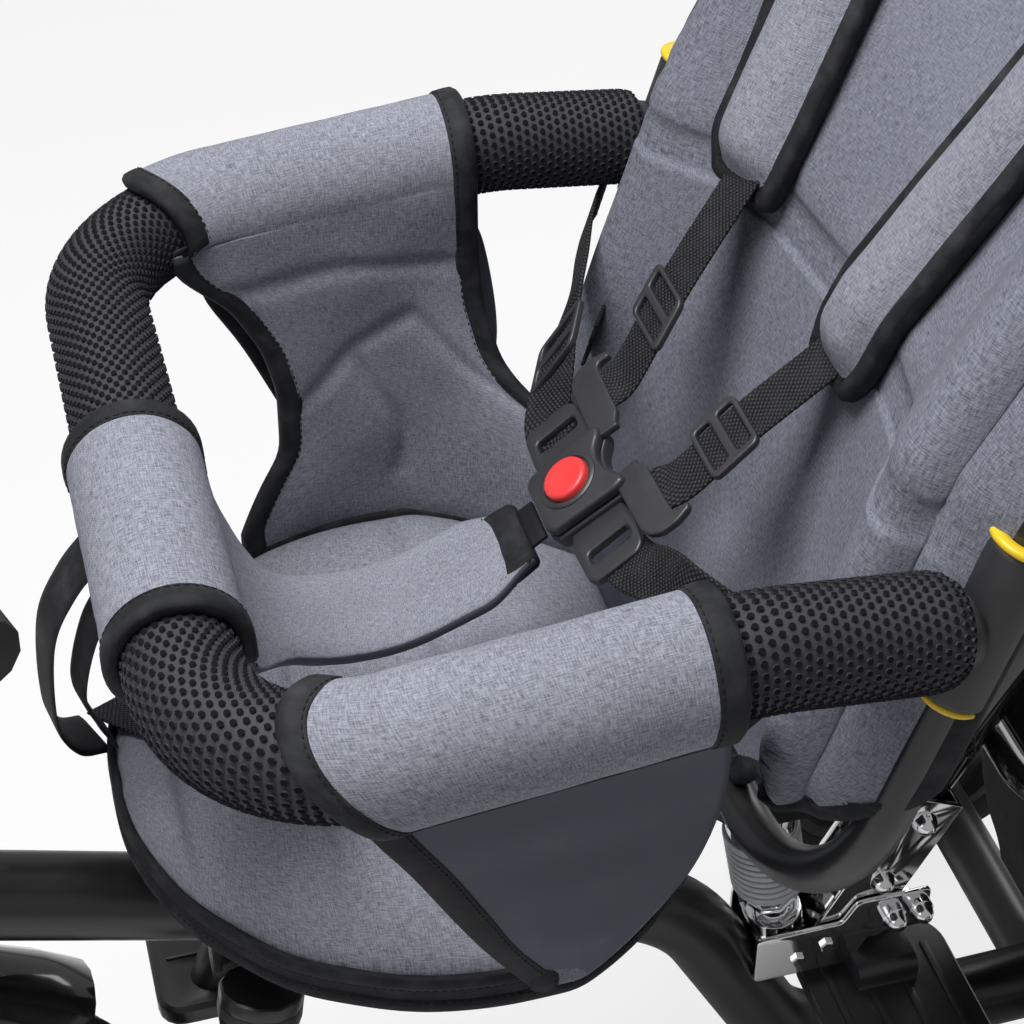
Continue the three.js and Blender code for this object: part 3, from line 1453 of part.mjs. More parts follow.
function backPad() {
  const point = (u, v) => {
    const s = 2 * u - 1;
    const z = lerp(backPadLowZ, backPadTopZ, v);
    const corner = 1 - 0.42 * (1 - smooth(v / 0.13)) - 0.2 * smooth((v - 0.86) / 0.14) ** 2;
    return v3(s * backPadHalf * corner * (1 - backPadTuckShare * Math.abs(s) ** 3), backMiddleY(s, z), z);
  };
  const thick = (u, v) => {
    const s = 2 * u - 1;
    const crown = (1 - Math.abs(s) ** 4) * (1 - Math.abs(2 * v - 1) ** 6);
    const channel = Math.exp(-(((Math.abs(s) - 0.57) / 0.08) ** 2)) * backPadChannel;
    return lerp(backPadThickness * backPadEdgeShare, backPadThickness, crown) - channel * crown;
  };
  return sheet(14, 10, point, thick);
}

// Harness

// A flat strap along points, whose width turns from one way across them to another
function strap(points, acrossStart, acrossEnd, steps) {
  const path = new THREE.CatmullRomCurve3(points);
  const across = (v) => acrossStart.clone().lerp(acrossEnd, smooth(v)).normalize();
  const point = (u, v) => path.getPoint(v).addScaledVector(across(v), (u - 1 / 2) * webbingWidth);
  return sheet(1, steps, point, () => webbingThickness);
}

const buckleUp = v3(0, Math.cos(rad(buckleTilt)), Math.sin(rad(buckleTilt)));
const buckleOut = v3(0, -Math.sin(rad(buckleTilt)), Math.cos(rad(buckleTilt)));
const onBuckle = (x, up, out = 0) =>
  v3(x, buckleY, buckleZ).addScaledVector(buckleUp, up).addScaledVector(buckleOut, out);
const bucklePlaced = (geometry) => geometry.rotateX(rad(buckleTilt)).translate(0, buckleY, buckleZ);

function buckleBody() {
  const half = buckleSize / 2;
  const body = plate(roundedRect(-half, -half, half, half, buckleCorner), -buckleThickness / 2, buckleThickness / 2, buttonTravel, 3);
  const well = rod(boreR(buttonR, 16), -buckleThickness / 4, buckleThickness, 16);
  return bucklePlaced(cut(body, well));
}

function buckleButton() {
  const low = -buckleThickness / 4 + buttonTravel + fit;
  const rim = buckleThickness / 2;
  return bucklePlaced(join(rod(buttonR, low, rim + fit, 16), dome(buttonR, rim, rim + buttonProud, 16)));
}

const tongueAngle = 45;
const tongueStart = (buckleSize / 2 - buckleCorner) * Math.SQRT2 + buckleCorner + fit;
const tongueEnd = tongueStart + tongueLength;
const tongueSlotShare = 0.68;
const tongueFaceOut = tongueThickness / 2 + webbingThickness / 2 + fit;

// A place on a tongue's middle line at a distance from the middle of the buckle
const onTongue = (side, r, out) => onBuckle(side * r * Math.cos(rad(tongueAngle)), r * Math.sin(rad(tongueAngle)), out);

// A tongue enters the buckle's side and takes both the shoulder and the waist strap
function tongue(side) {
  const shape = new THREE.Shape();
  const half = tongueWidth / 2;
  const slotHalf = half * 0.76;
  const slotHalfShare = 0.13;
  shape.moveTo(0, -half * 0.4);
  shape.lineTo(tongueLength * 0.35, -half);
  shape.lineTo(tongueLength, -half);
  shape.lineTo(tongueLength, half);
  shape.lineTo(tongueLength * 0.35, half);
  shape.lineTo(0, half * 0.4);
  const slot = [tongueSlotShare - slotHalfShare, tongueSlotShare + slotHalfShare].map((share) => share * tongueLength);
  shape.holes.push(outline([[slot[0], -slotHalf], [slot[0], slotHalf], [slot[1], slotHalf], [slot[1], -slotHalf]]));
  const made = plate(shape, -tongueThickness / 2, tongueThickness / 2, 0, 2).translate(tongueStart, 0, 0);
  return bucklePlaced(made.rotateZ(rad(side > 0 ? tongueAngle : 180 - tongueAngle)));
}

function shoulderStrap(side) {
  const from = onTongue(side, tongueStart + tongueLength * tongueSlotShare, tongueFaceOut);
  const low = shoulderPadLowZ;
  const end = backFaceY(shoulderX, low) - shoulderPadThickness * shoulderEdgeShare;
  const to = v3(side * shoulderX, end, low - fit - webbingThickness / 2);
  const mid = from.clone().lerp(to, 0.5).add(v3(0, -overrun / 2, overrun / 2));
  const direction = to.clone().sub(from).normalize();
  const level = v3(1, 0, 0);
  const across = level.clone().addScaledVector(direction, -direction.x).normalize();
  const band = strap([from, mid, to], level, level, 6);
  const half = adjusterWidth / 2;
  const slide = plate(roundedRect(-half, -adjusterLength / 2, half, adjusterLength / 2, adjusterThickness),
    -adjusterThickness / 2, adjusterThickness / 2, 0, 3);
  const turn = new THREE.Matrix4().makeBasis(across, direction, across.clone().cross(direction));
  return join(band, slide.applyMatrix4(turn).translate(mid.x, mid.y, mid.z));
}

const shoulderEdgeShare = 0.35;
const shoulderDriftShare = 0.19;

// A padded cover of the shoulder strap that lies against the back pad
function shoulderPad(side) {
  const thick = (u, v) => {
    const crown = (1 - Math.abs(2 * u - 1) ** 4) * (1 - Math.abs(2 * v - 1) ** 6);
    return lerp(shoulderPadThickness * shoulderEdgeShare, shoulderPadThickness, crown);
  };
  const point = (u, v) => {
    const z = shoulderPadLowZ + v * shoulderPadLength;
    const half = (shoulderPadWidth / 2) * (1 - 0.3 * (1 - smooth(v / 0.12)));
    const x = side * (shoulderX + v * shoulderPadLength * shoulderDriftShare) + (2 * u - 1) * half;
    return v3(x, backFaceY(x, z) - (thick(u, v) / 2 + fit * 4) / Math.cos(rad(backRecline)), z);
  };
  return sheet(4, 8, point, thick);
}

const waistEndShare = 0.8;

function waistStrap(side) {
  const from = onTongue(side, tongueStart + tongueLength * tongueSlotShare, -tongueFaceOut);
  const s = waistEndShare;
  const x = side * backPadHalf * s * (1 - backPadTuckShare * s ** 3);
  const end = v3(x, backFaceY(backPadHalf * s, waistEndZ) - webbingThickness, waistEndZ);
  const mid = from.clone().lerp(end, 0.5).add(v3(0, webbingThickness, -webbingThickness));
  const direction = end.clone().sub(from).normalize();
  const across = buckleOut.clone().cross(direction).multiplyScalar(side).normalize();
  return strap([from, mid, end], across, v3(0, tan(backLean), 1), 6);
}

function crotchStrap() {
  const from = onBuckle(0, -buckleSize / 2 - fit * 2);
  const end = v3(0, crotchEndY - fit * 3, buckleZ - buckleSize * 0.5 + fit * 6);
  const gap = from.clone().sub(end);
  const level = v3(1, 0, 0);
  return strap([from, from.clone().lerp(end, 1 / 2), end.addScaledVector(gap.normalize(), fit)], level, level, 3);
}

// Materials

const paint = (color, roughness, metalness = 0) => new THREE.MeshStandardMaterial({ color, roughness, metalness });
const satinBlack = () => paint(0x1b1b1d, 0.35, 0.2);
const glossBlack = () => paint(0x141416, 0.15);
const chrome = () => paint(0xd8d8da, 0.08, 1);
const plastic = () => paint(0x26262a, 0.55);
const rubber = () => paint(0x1c1c1e, 0.85);
const melange = () => paint(0x85878c, 0.95);
const meshFoam = () => paint(0x2a2a2e, 0.95);
const webbing = () => paint(0x17171a, 0.85);
const yellow = () => paint(0xe8c21a, 0.35);
const red = () => paint(0xe2322c, 0.4);
const smoky = () => paint(0xc9ccd0, 0.3);

function named(name, geometry, material) {
  const clean = geometry.index ? geometry : mergeVertices(geometry, 1e-3);
  clean.computeVertexNormals();
  const mesh = new THREE.Mesh(clean, material);
  mesh.name = name;
  return mesh;
}

const group = (...children) => new THREE.Group().add(...children);

// Assembly

const sides = [["left", 1], ["right", -1]];

const rearWheels = group(...sides.flatMap(([name, side]) => {
  const tyreMesh = named(`rear_tyre_${name}`, tyre(rearWheelR, rearTyreWidth, rearTyreDepth, 22), rubber());
  const body = wheel(rearWheelR, rearTyreDepth, rearTyreWidth, rearHubWidth, 22, side);
  const wheelMesh = named(`rear_wheel_${name}`, body, plastic());
  const wheelGroup = group(tyreMesh, wheelMesh);
  wheelGroup.position.set(side * rearTyreX, rearAxleY, rearWheelR);
  return wheelGroup;
}));

const frontWheel = group(
  named("front_tyre", tyre(frontWheelR, frontTyreWidth, frontTyreDepth, 26), rubber()),
  named("front_wheel", wheel(frontWheelR, frontTyreDepth, frontTyreWidth, frontHubWidth, 26, 0), plastic()),
  named("crank", crank(), chrome()),
  ...sides.map(([name, side]) => {
    const mesh = named(`pedal_${name}`, pedal(side), plastic());
    mesh.position.z = side * crankLength;
    return mesh;
  }),
);

const steering = group(
  named("fork", fork(), satinBlack()),
  named("front_fender", fender(), glossBlack()),
  named("handlebar", handlebar(), satinBlack()),
  ...sides.map(([name, side]) => named(`grip_${name}`, grip(side), rubber())),
  frontWheel,
);
steering.position.set(0, frontAxleY, frontWheelR);
steering.rotation.x = -rad(steeringTilt);
frontWheel.rotation.x = rad(steeringTilt);

const frame = group(
  named("main_tube", mainTube(), satinBlack()),
  named("head_tube", steeringPlaced(headTube()), satinBlack()),
  named("rear_axle_beam", rearAxleBeam(), satinBlack()),
  named("rear_bracket", rearBracket(), chrome()),
  named("shock_foot", shockFoot(), chrome()),
  named("shock_spring", shockSpring(), chrome()),
  named("push_socket", pushSocket(), chrome()),
  named("push_tube_lower", pushTubeLower(), glossBlack()),
  named("push_lock", pushLock(), plastic()),
  named("push_tube_upper", pushTubeUpper(), satinBlack()),
  ...sides.map(([name, side]) => named(`push_grip_${name}`, pushGrip(side), meshFoam())),
  named("brake_treadle", treadle(), plastic()),
  named("basket_rim", basketRim(), glossBlack()),
  named("basket_bag", basketBag(), melange()),
  named("footrest_bracket", footrestBracket(), plastic()),
  ...sides.map(([name, side]) => named(`footrest_leg_${name}`, footrestLeg(side), satinBlack())),
);

const seat = group(
  named("seat_carrier", seatCarrier(), satinBlack()),
  named("shock_cap", shockCap(), chrome()),
  named("shock_sleeve", shockSleeve(), smoky()),
  named("seat_shell", seatShell(), glossBlack()),
  named("back_frame", backFrame(), satinBlack()),
  ...sides.map(([name, side]) => named(`clamp_bush_${name}`, clampBush(side), yellow())),
  ...sides.map(([name, side]) => named(`clamp_sleeve_${name}`, clampSleeve(side), plastic())),
  named("guard_ring_tube", ringTube(), satinBlack()),
  named("guard_ring_foam", ringFoam(), meshFoam()),
  named("seat_pad", seatPad(), melange()),
  named("front_skirt", frontSkirt(), melange()),
  named("back_pad", backPad(), melange()),
  ...sides.map(([name, side]) => named(`side_panel_${name}`, sidePanel(side), melange())),
  named("front_panel", frontPanel(), melange()),
  ...sides.map(([name, side]) => named(`shoulder_pad_${name}`, shoulderPad(side), melange())),
  ...sides.map(([name, side]) => named(`shoulder_strap_${name}`, shoulderStrap(side), webbing())),
  ...sides.map(([name, side]) => named(`waist_strap_${name}`, waistStrap(side), webbing())),
  named("crotch_strap", crotchStrap(), webbing()),
  ...sides.map(([name, side]) => named(`tongue_${name}`, tongue(side), plastic())),
  named("buckle_body", buckleBody(), plastic()),
  named("buckle_button", buckleButton(), red()),
);

// The origin is under the middle of the tricycle's length, on the ground
const tricycle = group(rearWheels, steering, frame, seat);
const reach = new THREE.Box3().setFromObject(tricycle);
tricycle.position.y = -(reach.min.y + reach.max.y) / 2;
tricycle.position.z = -reach.min.z;

export default tricycle;
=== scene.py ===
# %% [markdown]
# # A toddler's push tricycle
#
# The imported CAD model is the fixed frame: steel tubes, wheels, hinges and plain closed
# solids for the cloth. This lesson dresses it. Cloth, webbing and spacer mesh are built
# over the CAD solids with their own thickness, bound edges and stitches, the steel and
# plastic pieces get smooth surfaces and finishes, and the camera stands where the
# photograph was taken.

# %% Load the frame
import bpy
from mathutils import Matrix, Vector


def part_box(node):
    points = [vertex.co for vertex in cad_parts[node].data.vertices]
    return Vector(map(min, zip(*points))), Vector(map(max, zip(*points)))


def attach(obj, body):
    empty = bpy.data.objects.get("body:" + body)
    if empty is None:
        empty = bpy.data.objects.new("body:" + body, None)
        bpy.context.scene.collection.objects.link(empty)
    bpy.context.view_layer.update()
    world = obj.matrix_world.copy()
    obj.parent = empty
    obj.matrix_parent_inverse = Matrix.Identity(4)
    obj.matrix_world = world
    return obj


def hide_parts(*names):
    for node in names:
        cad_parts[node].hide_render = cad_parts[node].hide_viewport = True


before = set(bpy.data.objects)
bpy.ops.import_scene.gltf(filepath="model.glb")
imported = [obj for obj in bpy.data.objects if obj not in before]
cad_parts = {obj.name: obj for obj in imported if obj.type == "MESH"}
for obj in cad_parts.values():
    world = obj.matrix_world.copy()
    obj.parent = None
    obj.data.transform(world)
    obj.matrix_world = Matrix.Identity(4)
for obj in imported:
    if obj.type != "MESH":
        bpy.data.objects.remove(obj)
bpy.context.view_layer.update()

import math

import bmesh
import bpy
import numpy as np
from mathutils import Matrix, Vector

# %% [markdown]
# ## One set of measures
#
# The real tricycle was measured in millimetres from the clamps of the guard ring, with
# heights from the ground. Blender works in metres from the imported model's origin. The
# seat shell's front lower corner is known in both, so it gives the step between them.

# %% Plan measures to Blender's metres
MM = 0.001
SHELL_FRONT, SHELL_LOW, SHELL_TOP = -300, 388, 414
shell_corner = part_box("seat_shell")[0]
plan_offset = np.array([0, shell_corner.y - SHELL_FRONT * MM, shell_corner.z - SHELL_LOW * MM])


def metres(places):
    return np.asarray(places, float) * MM + plan_offset


def vec(*values):
    return np.array(values, float)


def unit(v):
    v = np.asarray(v, float)
    return v / np.maximum(np.linalg.norm(v, axis=-1, keepdims=True), 1e-9)


def lerp(a, b, t):
    return a + (b - a) * t


def smooth(t):
    t = np.clip(t, 0, 1)
    return t * t * (3 - 2 * t)


def tan(degrees):
    return math.tan(math.radians(degrees))


def new_object(name, data):
    made = bpy.data.objects.new(name, data)
    bpy.context.scene.collection.objects.link(made)
    return made


print("plan origin in Blender:", np.round(metres((0, 0, 0)), 4))

# %% [markdown]
# ## The camera
#
# The photograph looks down over the child's left front side with a long lens, so the
# lines hardly converge. The place and the lens were solved from the ring, the tubes and
# the webbing, which is 25 mm wide.

# %% Camera
CAMERA_PLACE = (737.4, -328.4, 1174.2)
CAMERA_LOOK = (-0.74404, 0.20654, -0.63541)
SENSOR, LENS, NEAREST = 36, 79.35, 0.05


def aim(made, way):
    made.rotation_euler = Vector(way).to_track_quat("-Z", "Y").to_euler()


def make_camera():
    data = bpy.data.cameras.new("camera")
    data.sensor_width, data.lens, data.clip_start = SENSOR, LENS, NEAREST
    camera = new_object("camera", data)
    camera.location = metres(CAMERA_PLACE)
    aim(camera, CAMERA_LOOK)
    bpy.context.scene.camera = camera


make_camera()
bpy.context.scene.view_settings.view_transform = "Standard"
print("lens:", LENS, "mm")

# %% [markdown]
# ## Building material node trees
#
# Each material is a small tree of nodes. One helper adds a node, sets its properties and
# either links or fills its inputs, which keeps the trees readable. Effects that several
# materials share are groups with named inputs: the heathered weave, the plain weave, the
# scuffs and the moulded grain.

# %% Node helpers
def add(tree, kind, inputs=None, **settings):
    node = tree.nodes.new(kind)
    for key, value in settings.items():
        setattr(node, key, value)
    for key, value in (inputs or {}).items():
        if isinstance(value, bpy.types.NodeSocket):
            tree.links.new(value, node.inputs[key])
        else:
            node.inputs[key].default_value = value
    return node


def math_node(tree, operation, *values):
    return add(tree, "ShaderNodeMath", dict(enumerate(values)), operation=operation).outputs[0]


def ramp_of(tree, value, low, high, to_low=0.0, to_high=1.0):
    inputs = {"Value": value, "From Min": low, "From Max": high, "To Min": to_low, "To Max": to_high}
    return add(tree, "ShaderNodeMapRange", inputs).outputs["Result"]


def mix_colour(tree, share, a, b):
    """The Mix node has sockets for each kind of data. Inputs 6 and 7 and output 2 are the colours."""
    return add(tree, "ShaderNodeMix", {0: share, 6: a, 7: b}, data_type="RGBA").outputs[2]


def noise(tree, vector, scale, detail=2.0, roughness=0.5):
    inputs = {"Vector": vector, "Scale": scale, "Detail": detail, "Roughness": roughness}
    return add(tree, "ShaderNodeTexNoise", inputs).outputs["Fac"]


def stretched(tree, vector, across, along, turn=0.0):
    inputs = {"Vector": vector, "Scale": (1 / (across * MM), 1 / (along * MM), 1 / (along * MM)),
              "Rotation": (0, 0, math.radians(turn))}
    return add(tree, "ShaderNodeMapping", inputs).outputs["Vector"]


def start_group(name, inputs, outputs):
    tree = bpy.data.node_groups.new(name, "ShaderNodeTree")
    for label, kind, value in inputs:
        socket = tree.interface.new_socket(name=label, in_out="INPUT", socket_type=kind)
        if value is not None:
            socket.default_value = value
    for label, kind in outputs:
        tree.interface.new_socket(name=label, in_out="OUTPUT", socket_type=kind)
    return tree, tree.nodes.new("NodeGroupInput").outputs, tree.nodes.new("NodeGroupOutput").inputs


VECTOR, FLOAT, COLOUR, MATERIAL = (f"NodeSocket{kind}" for kind in ("Vector", "Float", "Color", "Material"))

# %% [markdown]
# ### The heathered weave
#
# The grey cloth is woven from threads that were dyed unevenly, so short light and dark
# dashes run along both thread directions. Two noises, each squeezed across one thread and
# drawn out along it, give those dashes. A third, wide noise keeps large areas from being
# flat, and a sine grid gives the threads their height.

# %% Heathered weave
def thread_grid(tree, given):
    """A sine grid, with one bump for each crossing of the threads."""
    across = add(tree, "ShaderNodeSeparateXYZ", {"Vector": given["Vector"]}).outputs
    step = math_node(tree, "DIVIDE", math.pi / MM, given["Thread"])
    waves = [math_node(tree, "SINE", math_node(tree, "MULTIPLY", across[axis], step)) for axis in "XY"]
    return math_node(tree, "MULTIPLY", *waves)


DASH_WIDE, DASH_LONG, SLUB = 0.5, 4.6, 0.8


def melange_group():
    tree, given, result = start_group(
        "melange weave",
        [("Vector", VECTOR, None), ("Dark", COLOUR, (0.1, 0.1, 0.1, 1)), ("Light", COLOUR, (0.4, 0.4, 0.4, 1)),
         ("Thread", FLOAT, 0.6)],
        [("Color", COLOUR), ("Height", FLOAT)],
    )
    place = given["Vector"]
    warp = noise(tree, stretched(tree, place, DASH_WIDE, DASH_LONG), 1.0, 2.0, 0.7)
    weft = noise(tree, stretched(tree, place, DASH_LONG, DASH_WIDE), 1.0, 2.0, 0.7)
    slub = noise(tree, stretched(tree, place, SLUB, SLUB), 1.0, 3.0, 0.7)
    wide = noise(tree, place, 14.0, 3.0)
    both = math_node(tree, "ADD", warp, weft)
    dash = ramp_of(tree, math_node(tree, "MULTIPLY_ADD", slub, 0.35, both), 0.92, 1.42)
    dash = math_node(tree, "ADD", dash, ramp_of(tree, wide, 0.3, 0.7, -0.1, 0.1))
    tree.links.new(mix_colour(tree, dash, given["Dark"], given["Light"]), result["Color"])
    height = math_node(tree, "MULTIPLY_ADD", thread_grid(tree, given), 0.35, both)
    tree.links.new(height, result["Height"])
    return tree


MELANGE = melange_group()
print("shader group:", MELANGE.name)

# %% [markdown]
# ### The plain weave
#
# Tape, webbing, lining and mesh are black or dark cloth. The same sine grid gives their
# threads. "Knots" lifts the crossings, as on coarse webbing, and lightens them with a
# painted highlight, and "Lint" lays a faint grey cloud of dust over the cloth, which keeps
# it from looking printed.

# %% Plain weave
# The knot colour lightens the crossings of the threads, a painted highlight; the lint colour is grey dust.
KNOT_HIGHLIGHT_COLOUR, LINT_COLOUR = (0.062, 0.062, 0.07, 1), (0.3, 0.3, 0.32, 1)


def plain_weave_group():
    tree, given, result = start_group(
        "plain weave",
        [("Vector", VECTOR, None), ("Color", COLOUR, (0.02, 0.02, 0.02, 1)), ("Thread", FLOAT, 0.4),
         ("Lint", FLOAT, 0.2), ("Knots", FLOAT, 0.0)],
        [("Color", COLOUR), ("Roughness", FLOAT), ("Height", FLOAT)],
    )
    grid = thread_grid(tree, given)
    cloud = noise(tree, given["Vector"], 60.0, 4.0, 0.6)
    lint = math_node(tree, "MULTIPLY", ramp_of(tree, cloud, 0.45, 0.75), given["Lint"])
    lighter = mix_colour(tree, 0.35, given["Color"], LINT_COLOUR)
    # The crossings lighten towards the knot colour by the Knots share: a painted highlight on the raised threads.
    knot_highlight = math_node(tree, "MULTIPLY", ramp_of(tree, grid, 0.0, 0.7), given["Knots"])
    linty = mix_colour(tree, lint, given["Color"], lighter)
    tree.links.new(mix_colour(tree, knot_highlight, linty, KNOT_HIGHLIGHT_COLOUR), result["Color"])
    tree.links.new(ramp_of(tree, cloud, 0.3, 0.7, 0.55, 0.8), result["Roughness"])
    knots = math_node(tree, "MULTIPLY_ADD", given["Knots"], 2.5, 0.5)
    tree.links.new(math_node(tree, "MULTIPLY_ADD", grid, knots, cloud), result["Height"])
    return tree


PLAIN = plain_weave_group()
print("shader group:", PLAIN.name)

# %% [markdown]
# ### Scuffs, grain and dust
#
# Paint, plastic, rubber and chrome are never evenly smooth. A cloudy noise and one drawn
# out into hairlines vary the roughness between two values, a fine noise gives the moulded
# grain, and the cloud's peaks are a mask for dust.

# %% Scuffs
def scuff_group():
    tree, given, result = start_group(
        "scuffs",
        [("Vector", VECTOR, None), ("Low", FLOAT, 0.2), ("High", FLOAT, 0.4), ("Grain", FLOAT, 300.0)],
        [("Roughness", FLOAT), ("Height", FLOAT), ("Dust", FLOAT)],
    )
    cloud = noise(tree, given["Vector"], 22.0, 5.0, 0.65)
    hair = noise(tree, stretched(tree, given["Vector"], 0.8, 40.0, 20.0), 1.0, 2.0)
    worn = math_node(tree, "MULTIPLY", ramp_of(tree, cloud, 0.35, 0.7), ramp_of(tree, hair, 0.35, 0.65, 0.6, 1.0))
    spread = math_node(tree, "SUBTRACT", given["High"], given["Low"])
    tree.links.new(math_node(tree, "MULTIPLY_ADD", worn, spread, given["Low"]), result["Roughness"])
    tree.links.new(noise(tree, given["Vector"], given["Grain"], 2.0), result["Height"])
    tree.links.new(ramp_of(tree, cloud, 0.5, 0.85), result["Dust"])
    return tree


SCUFFS = scuff_group()
print("shader group:", SCUFFS.name)

# %% [markdown]
# ### Finishes
#
# Cloth reads a UV map called "cloth" that holds real distances along the piece, so the
# threads turn with it. Paint, plastic and chrome read Object coordinates, which works for
# the CAD nodes as well, because they have no UV map. Each finish ends in one Principled
# BSDF, with its fixed numbers on the shader's own sockets.

# %% Material helpers
CLOTH_UV, DUST_GREY = "cloth", 0.35


def start_material(name, **sockets):
    material = bpy.data.materials.new(name)
    material.use_nodes = True
    tree = material.node_tree
    shader = tree.nodes["Principled BSDF"]
    for key, value in sockets.items():
        shader.inputs[key.replace("_", " ")].default_value = value
    return material, tree, shader


def use_group(tree, group, **inputs):
    return add(tree, "ShaderNodeGroup", inputs, node_tree=group).outputs


def bump(tree, shader, height, strength, distance):
    inputs = {"Height": height, "Strength": strength, "Distance": distance * MM}
    tree.links.new(add(tree, "ShaderNodeBump", inputs).outputs["Normal"], shader.inputs["Normal"])


def melange(name, dark, light):
    material, tree, shader = start_material(name, Roughness=0.92, Specular_IOR_Level=0.15)
    cloth = add(tree, "ShaderNodeUVMap", uv_map=CLOTH_UV).outputs["UV"]
    made = use_group(tree, MELANGE, Vector=cloth, Dark=(*dark, 1), Light=(*light, 1), Thread=0.6)
    tree.links.new(made["Color"], shader.inputs["Base Color"])
    bump(tree, shader, made["Height"], 0.35, 0.25)
    return material


def woven(name, colour, thread=0.4, lint=0.25, strength=0.3, knots=0.0, shine=0.15):
    material, tree, shader = start_material(name, Specular_IOR_Level=shine)
    cloth = add(tree, "ShaderNodeUVMap", uv_map=CLOTH_UV).outputs["UV"]
    made = use_group(tree, PLAIN, Vector=cloth, Color=(*colour, 1), Thread=thread, Lint=lint, Knots=knots)
    tree.links.new(made["Color"], shader.inputs["Base Color"])
    tree.links.new(made["Roughness"], shader.inputs["Roughness"])
    bump(tree, shader, made["Height"], strength, 0.15)
    return material


def hard(name, colour, low, high, grain=300.0, strength=0.1, dust=0.04, **sockets):
    material, tree, shader = start_material(name, **sockets)
    place = add(tree, "ShaderNodeTexCoord").outputs["Object"]
    made = use_group(tree, SCUFFS, Vector=place, Low=low, High=high, Grain=grain)
    greyer = tuple(lerp(c, DUST_GREY, dust) for c in colour)
    tree.links.new(mix_colour(tree, made["Dust"], (*colour, 1), (*greyer, 1)), shader.inputs["Base Color"])
    tree.links.new(made["Roughness"], shader.inputs["Roughness"])
    bump(tree, shader, made["Height"], strength, 0.1)
    return material


# %% [markdown]
# ### The list of finishes
#
# The colours are those of the real surfaces in plain light, with three exceptions of
# painted light: the darker melange is the wraps' cloth with painted shade, the spacer
# mesh's hole floors are darker with painted shade, and the webbing's knots are lightened
# with a painted highlight. Only the red button and the yellow bushes are bright.
# Everything else is grey cloth, black steel, chrome or black plastic, so the finishes are
# told apart by their roughness and grain.

# %% Finishes
FINISH = {
    # The darker melange is the wraps' cloth with painted shade, for the back cushion and the near wing's outer face.
    "melange": melange("melange cloth", (0.082, 0.088, 0.11), (0.25, 0.263, 0.315)),
    "melange_light": melange("melange cloth of the wraps", (0.115, 0.121, 0.146), (0.325, 0.34, 0.395)),
    "lining": woven("dark polyester lining", (0.082, 0.09, 0.115), 0.35, 0.15, 0.15),
    "tape": woven("binding tape", (0.014, 0.0145, 0.017), 0.45, 0.3, 0.4),
    # The webbing's Knots share of 0.65 gives its crossings a painted highlight.
    "webbing": woven("webbing", (0.005, 0.005, 0.006), 1.35, 0.15, 0.9, 0.65, 0.2),
    "mesh": woven("spacer mesh", (0.032, 0.032, 0.039), 0.5, 0.3, 0.5, 0.1, 0.3),
    # The hole floors are darker and have no specular: painted shade in the recesses.
    "mesh_hole_shade": woven("spacer mesh hole shade", (0.011, 0.011, 0.013), 0.5, 0.0, 0.2, 0.0, 0.0),
    "thread": woven("sewing thread", (0.01, 0.01, 0.012), 0.2, 0.3, 0.2),
    "bag": woven("basket cloth", (0.012, 0.012, 0.013), 0.5, 0.2, 0.3),
    "satin_black": hard("satin black paint", (0.012, 0.012, 0.013), 0.3, 0.42, 900.0, 0.05, 0.02, Coat_Weight=0.12,
                        Coat_Roughness=0.25),
    "gloss_black": hard("gloss black paint", (0.01, 0.01, 0.011), 0.1, 0.2, 250.0, 0.03, 0.015, Coat_Weight=0.5,
                        Coat_Roughness=0.06),
    "chrome": hard("chrome", (0.72, 0.72, 0.73), 0.05, 0.16, 200.0, 0.02, 0.05, Metallic=1.0),
    "plastic": hard("black plastic", (0.02, 0.02, 0.022), 0.42, 0.6, 1600.0, 0.12, 0.05),
    "buckle": hard("buckle plastic", (0.03, 0.03, 0.034), 0.3, 0.45, 1400.0, 0.08, 0.04),
    "rubber": hard("tyre rubber", (0.018, 0.018, 0.019), 0.7, 0.9, 700.0, 0.2, 0.1),
    "yellow": hard("yellow plastic", (0.78, 0.53, 0.02), 0.25, 0.4, 600.0, 0.05, 0.02),
    "red": hard("red plastic", (0.78, 0.045, 0.045), 0.28, 0.4, 500.0, 0.04, 0.03),
    "smoky": hard("smoky sleeve", (0.62, 0.64, 0.67), 0.18, 0.32, 300.0, 0.05, 0.02, Transmission_Weight=0.4,
                  IOR=1.3),
    "bush": hard("grey bush", (0.2, 0.2, 0.21), 0.4, 0.55, 900.0, 0.06, 0.04),
}
print("finishes:", len(FINISH))

# %% [markdown]
# ## Floor, light and background
#
# The product stands on a plain white studio floor. The camera sees the floor and the
# world as white, but the object is lit at a plain level by one wide lamp overhead, a
# softer one from the camera's left and a narrow one behind, which draws the long
# highlights on tubes and chrome.

# %% Studio
FLOOR_HALF, FLOOR_GREY, FLOOR_GLOW = 14.0, 0.86, 0.8
WORLD_LIGHT, WORLD_IN_GLOSS = 0.14, 0.3


def seen_rays(tree):
    rays = add(tree, "ShaderNodeLightPath").outputs
    return rays, math_node(tree, "MAXIMUM", rays["Is Camera Ray"], rays["Is Transmission Ray"])


def make_floor():
    mesh = bpy.data.meshes.new("studio_floor")
    s = FLOOR_HALF
    mesh.from_pydata([(-s, -s, 0), (s, -s, 0), (s, s, 0), (-s, s, 0)], [], [(0, 1, 2, 3)])
    new_object("studio_floor", mesh)
    material, tree, shader = start_material("studio floor", Roughness=0.9)
    shader.inputs["Base Color"].default_value = (FLOOR_GREY, FLOOR_GREY, FLOOR_GREY, 1)
    glow = add(tree, "ShaderNodeEmission", {"Color": (1, 1, 1, 1), "Strength": 1.0})
    share = math_node(tree, "MULTIPLY", seen_rays(tree)[1], FLOOR_GLOW)
    mixed = add(tree, "ShaderNodeMixShader", {0: share, 1: shader.outputs[0], 2: glow.outputs[0]})
    tree.links.new(mixed.outputs[0], tree.nodes["Material Output"].inputs["Surface"])
    mesh.materials.append(material)


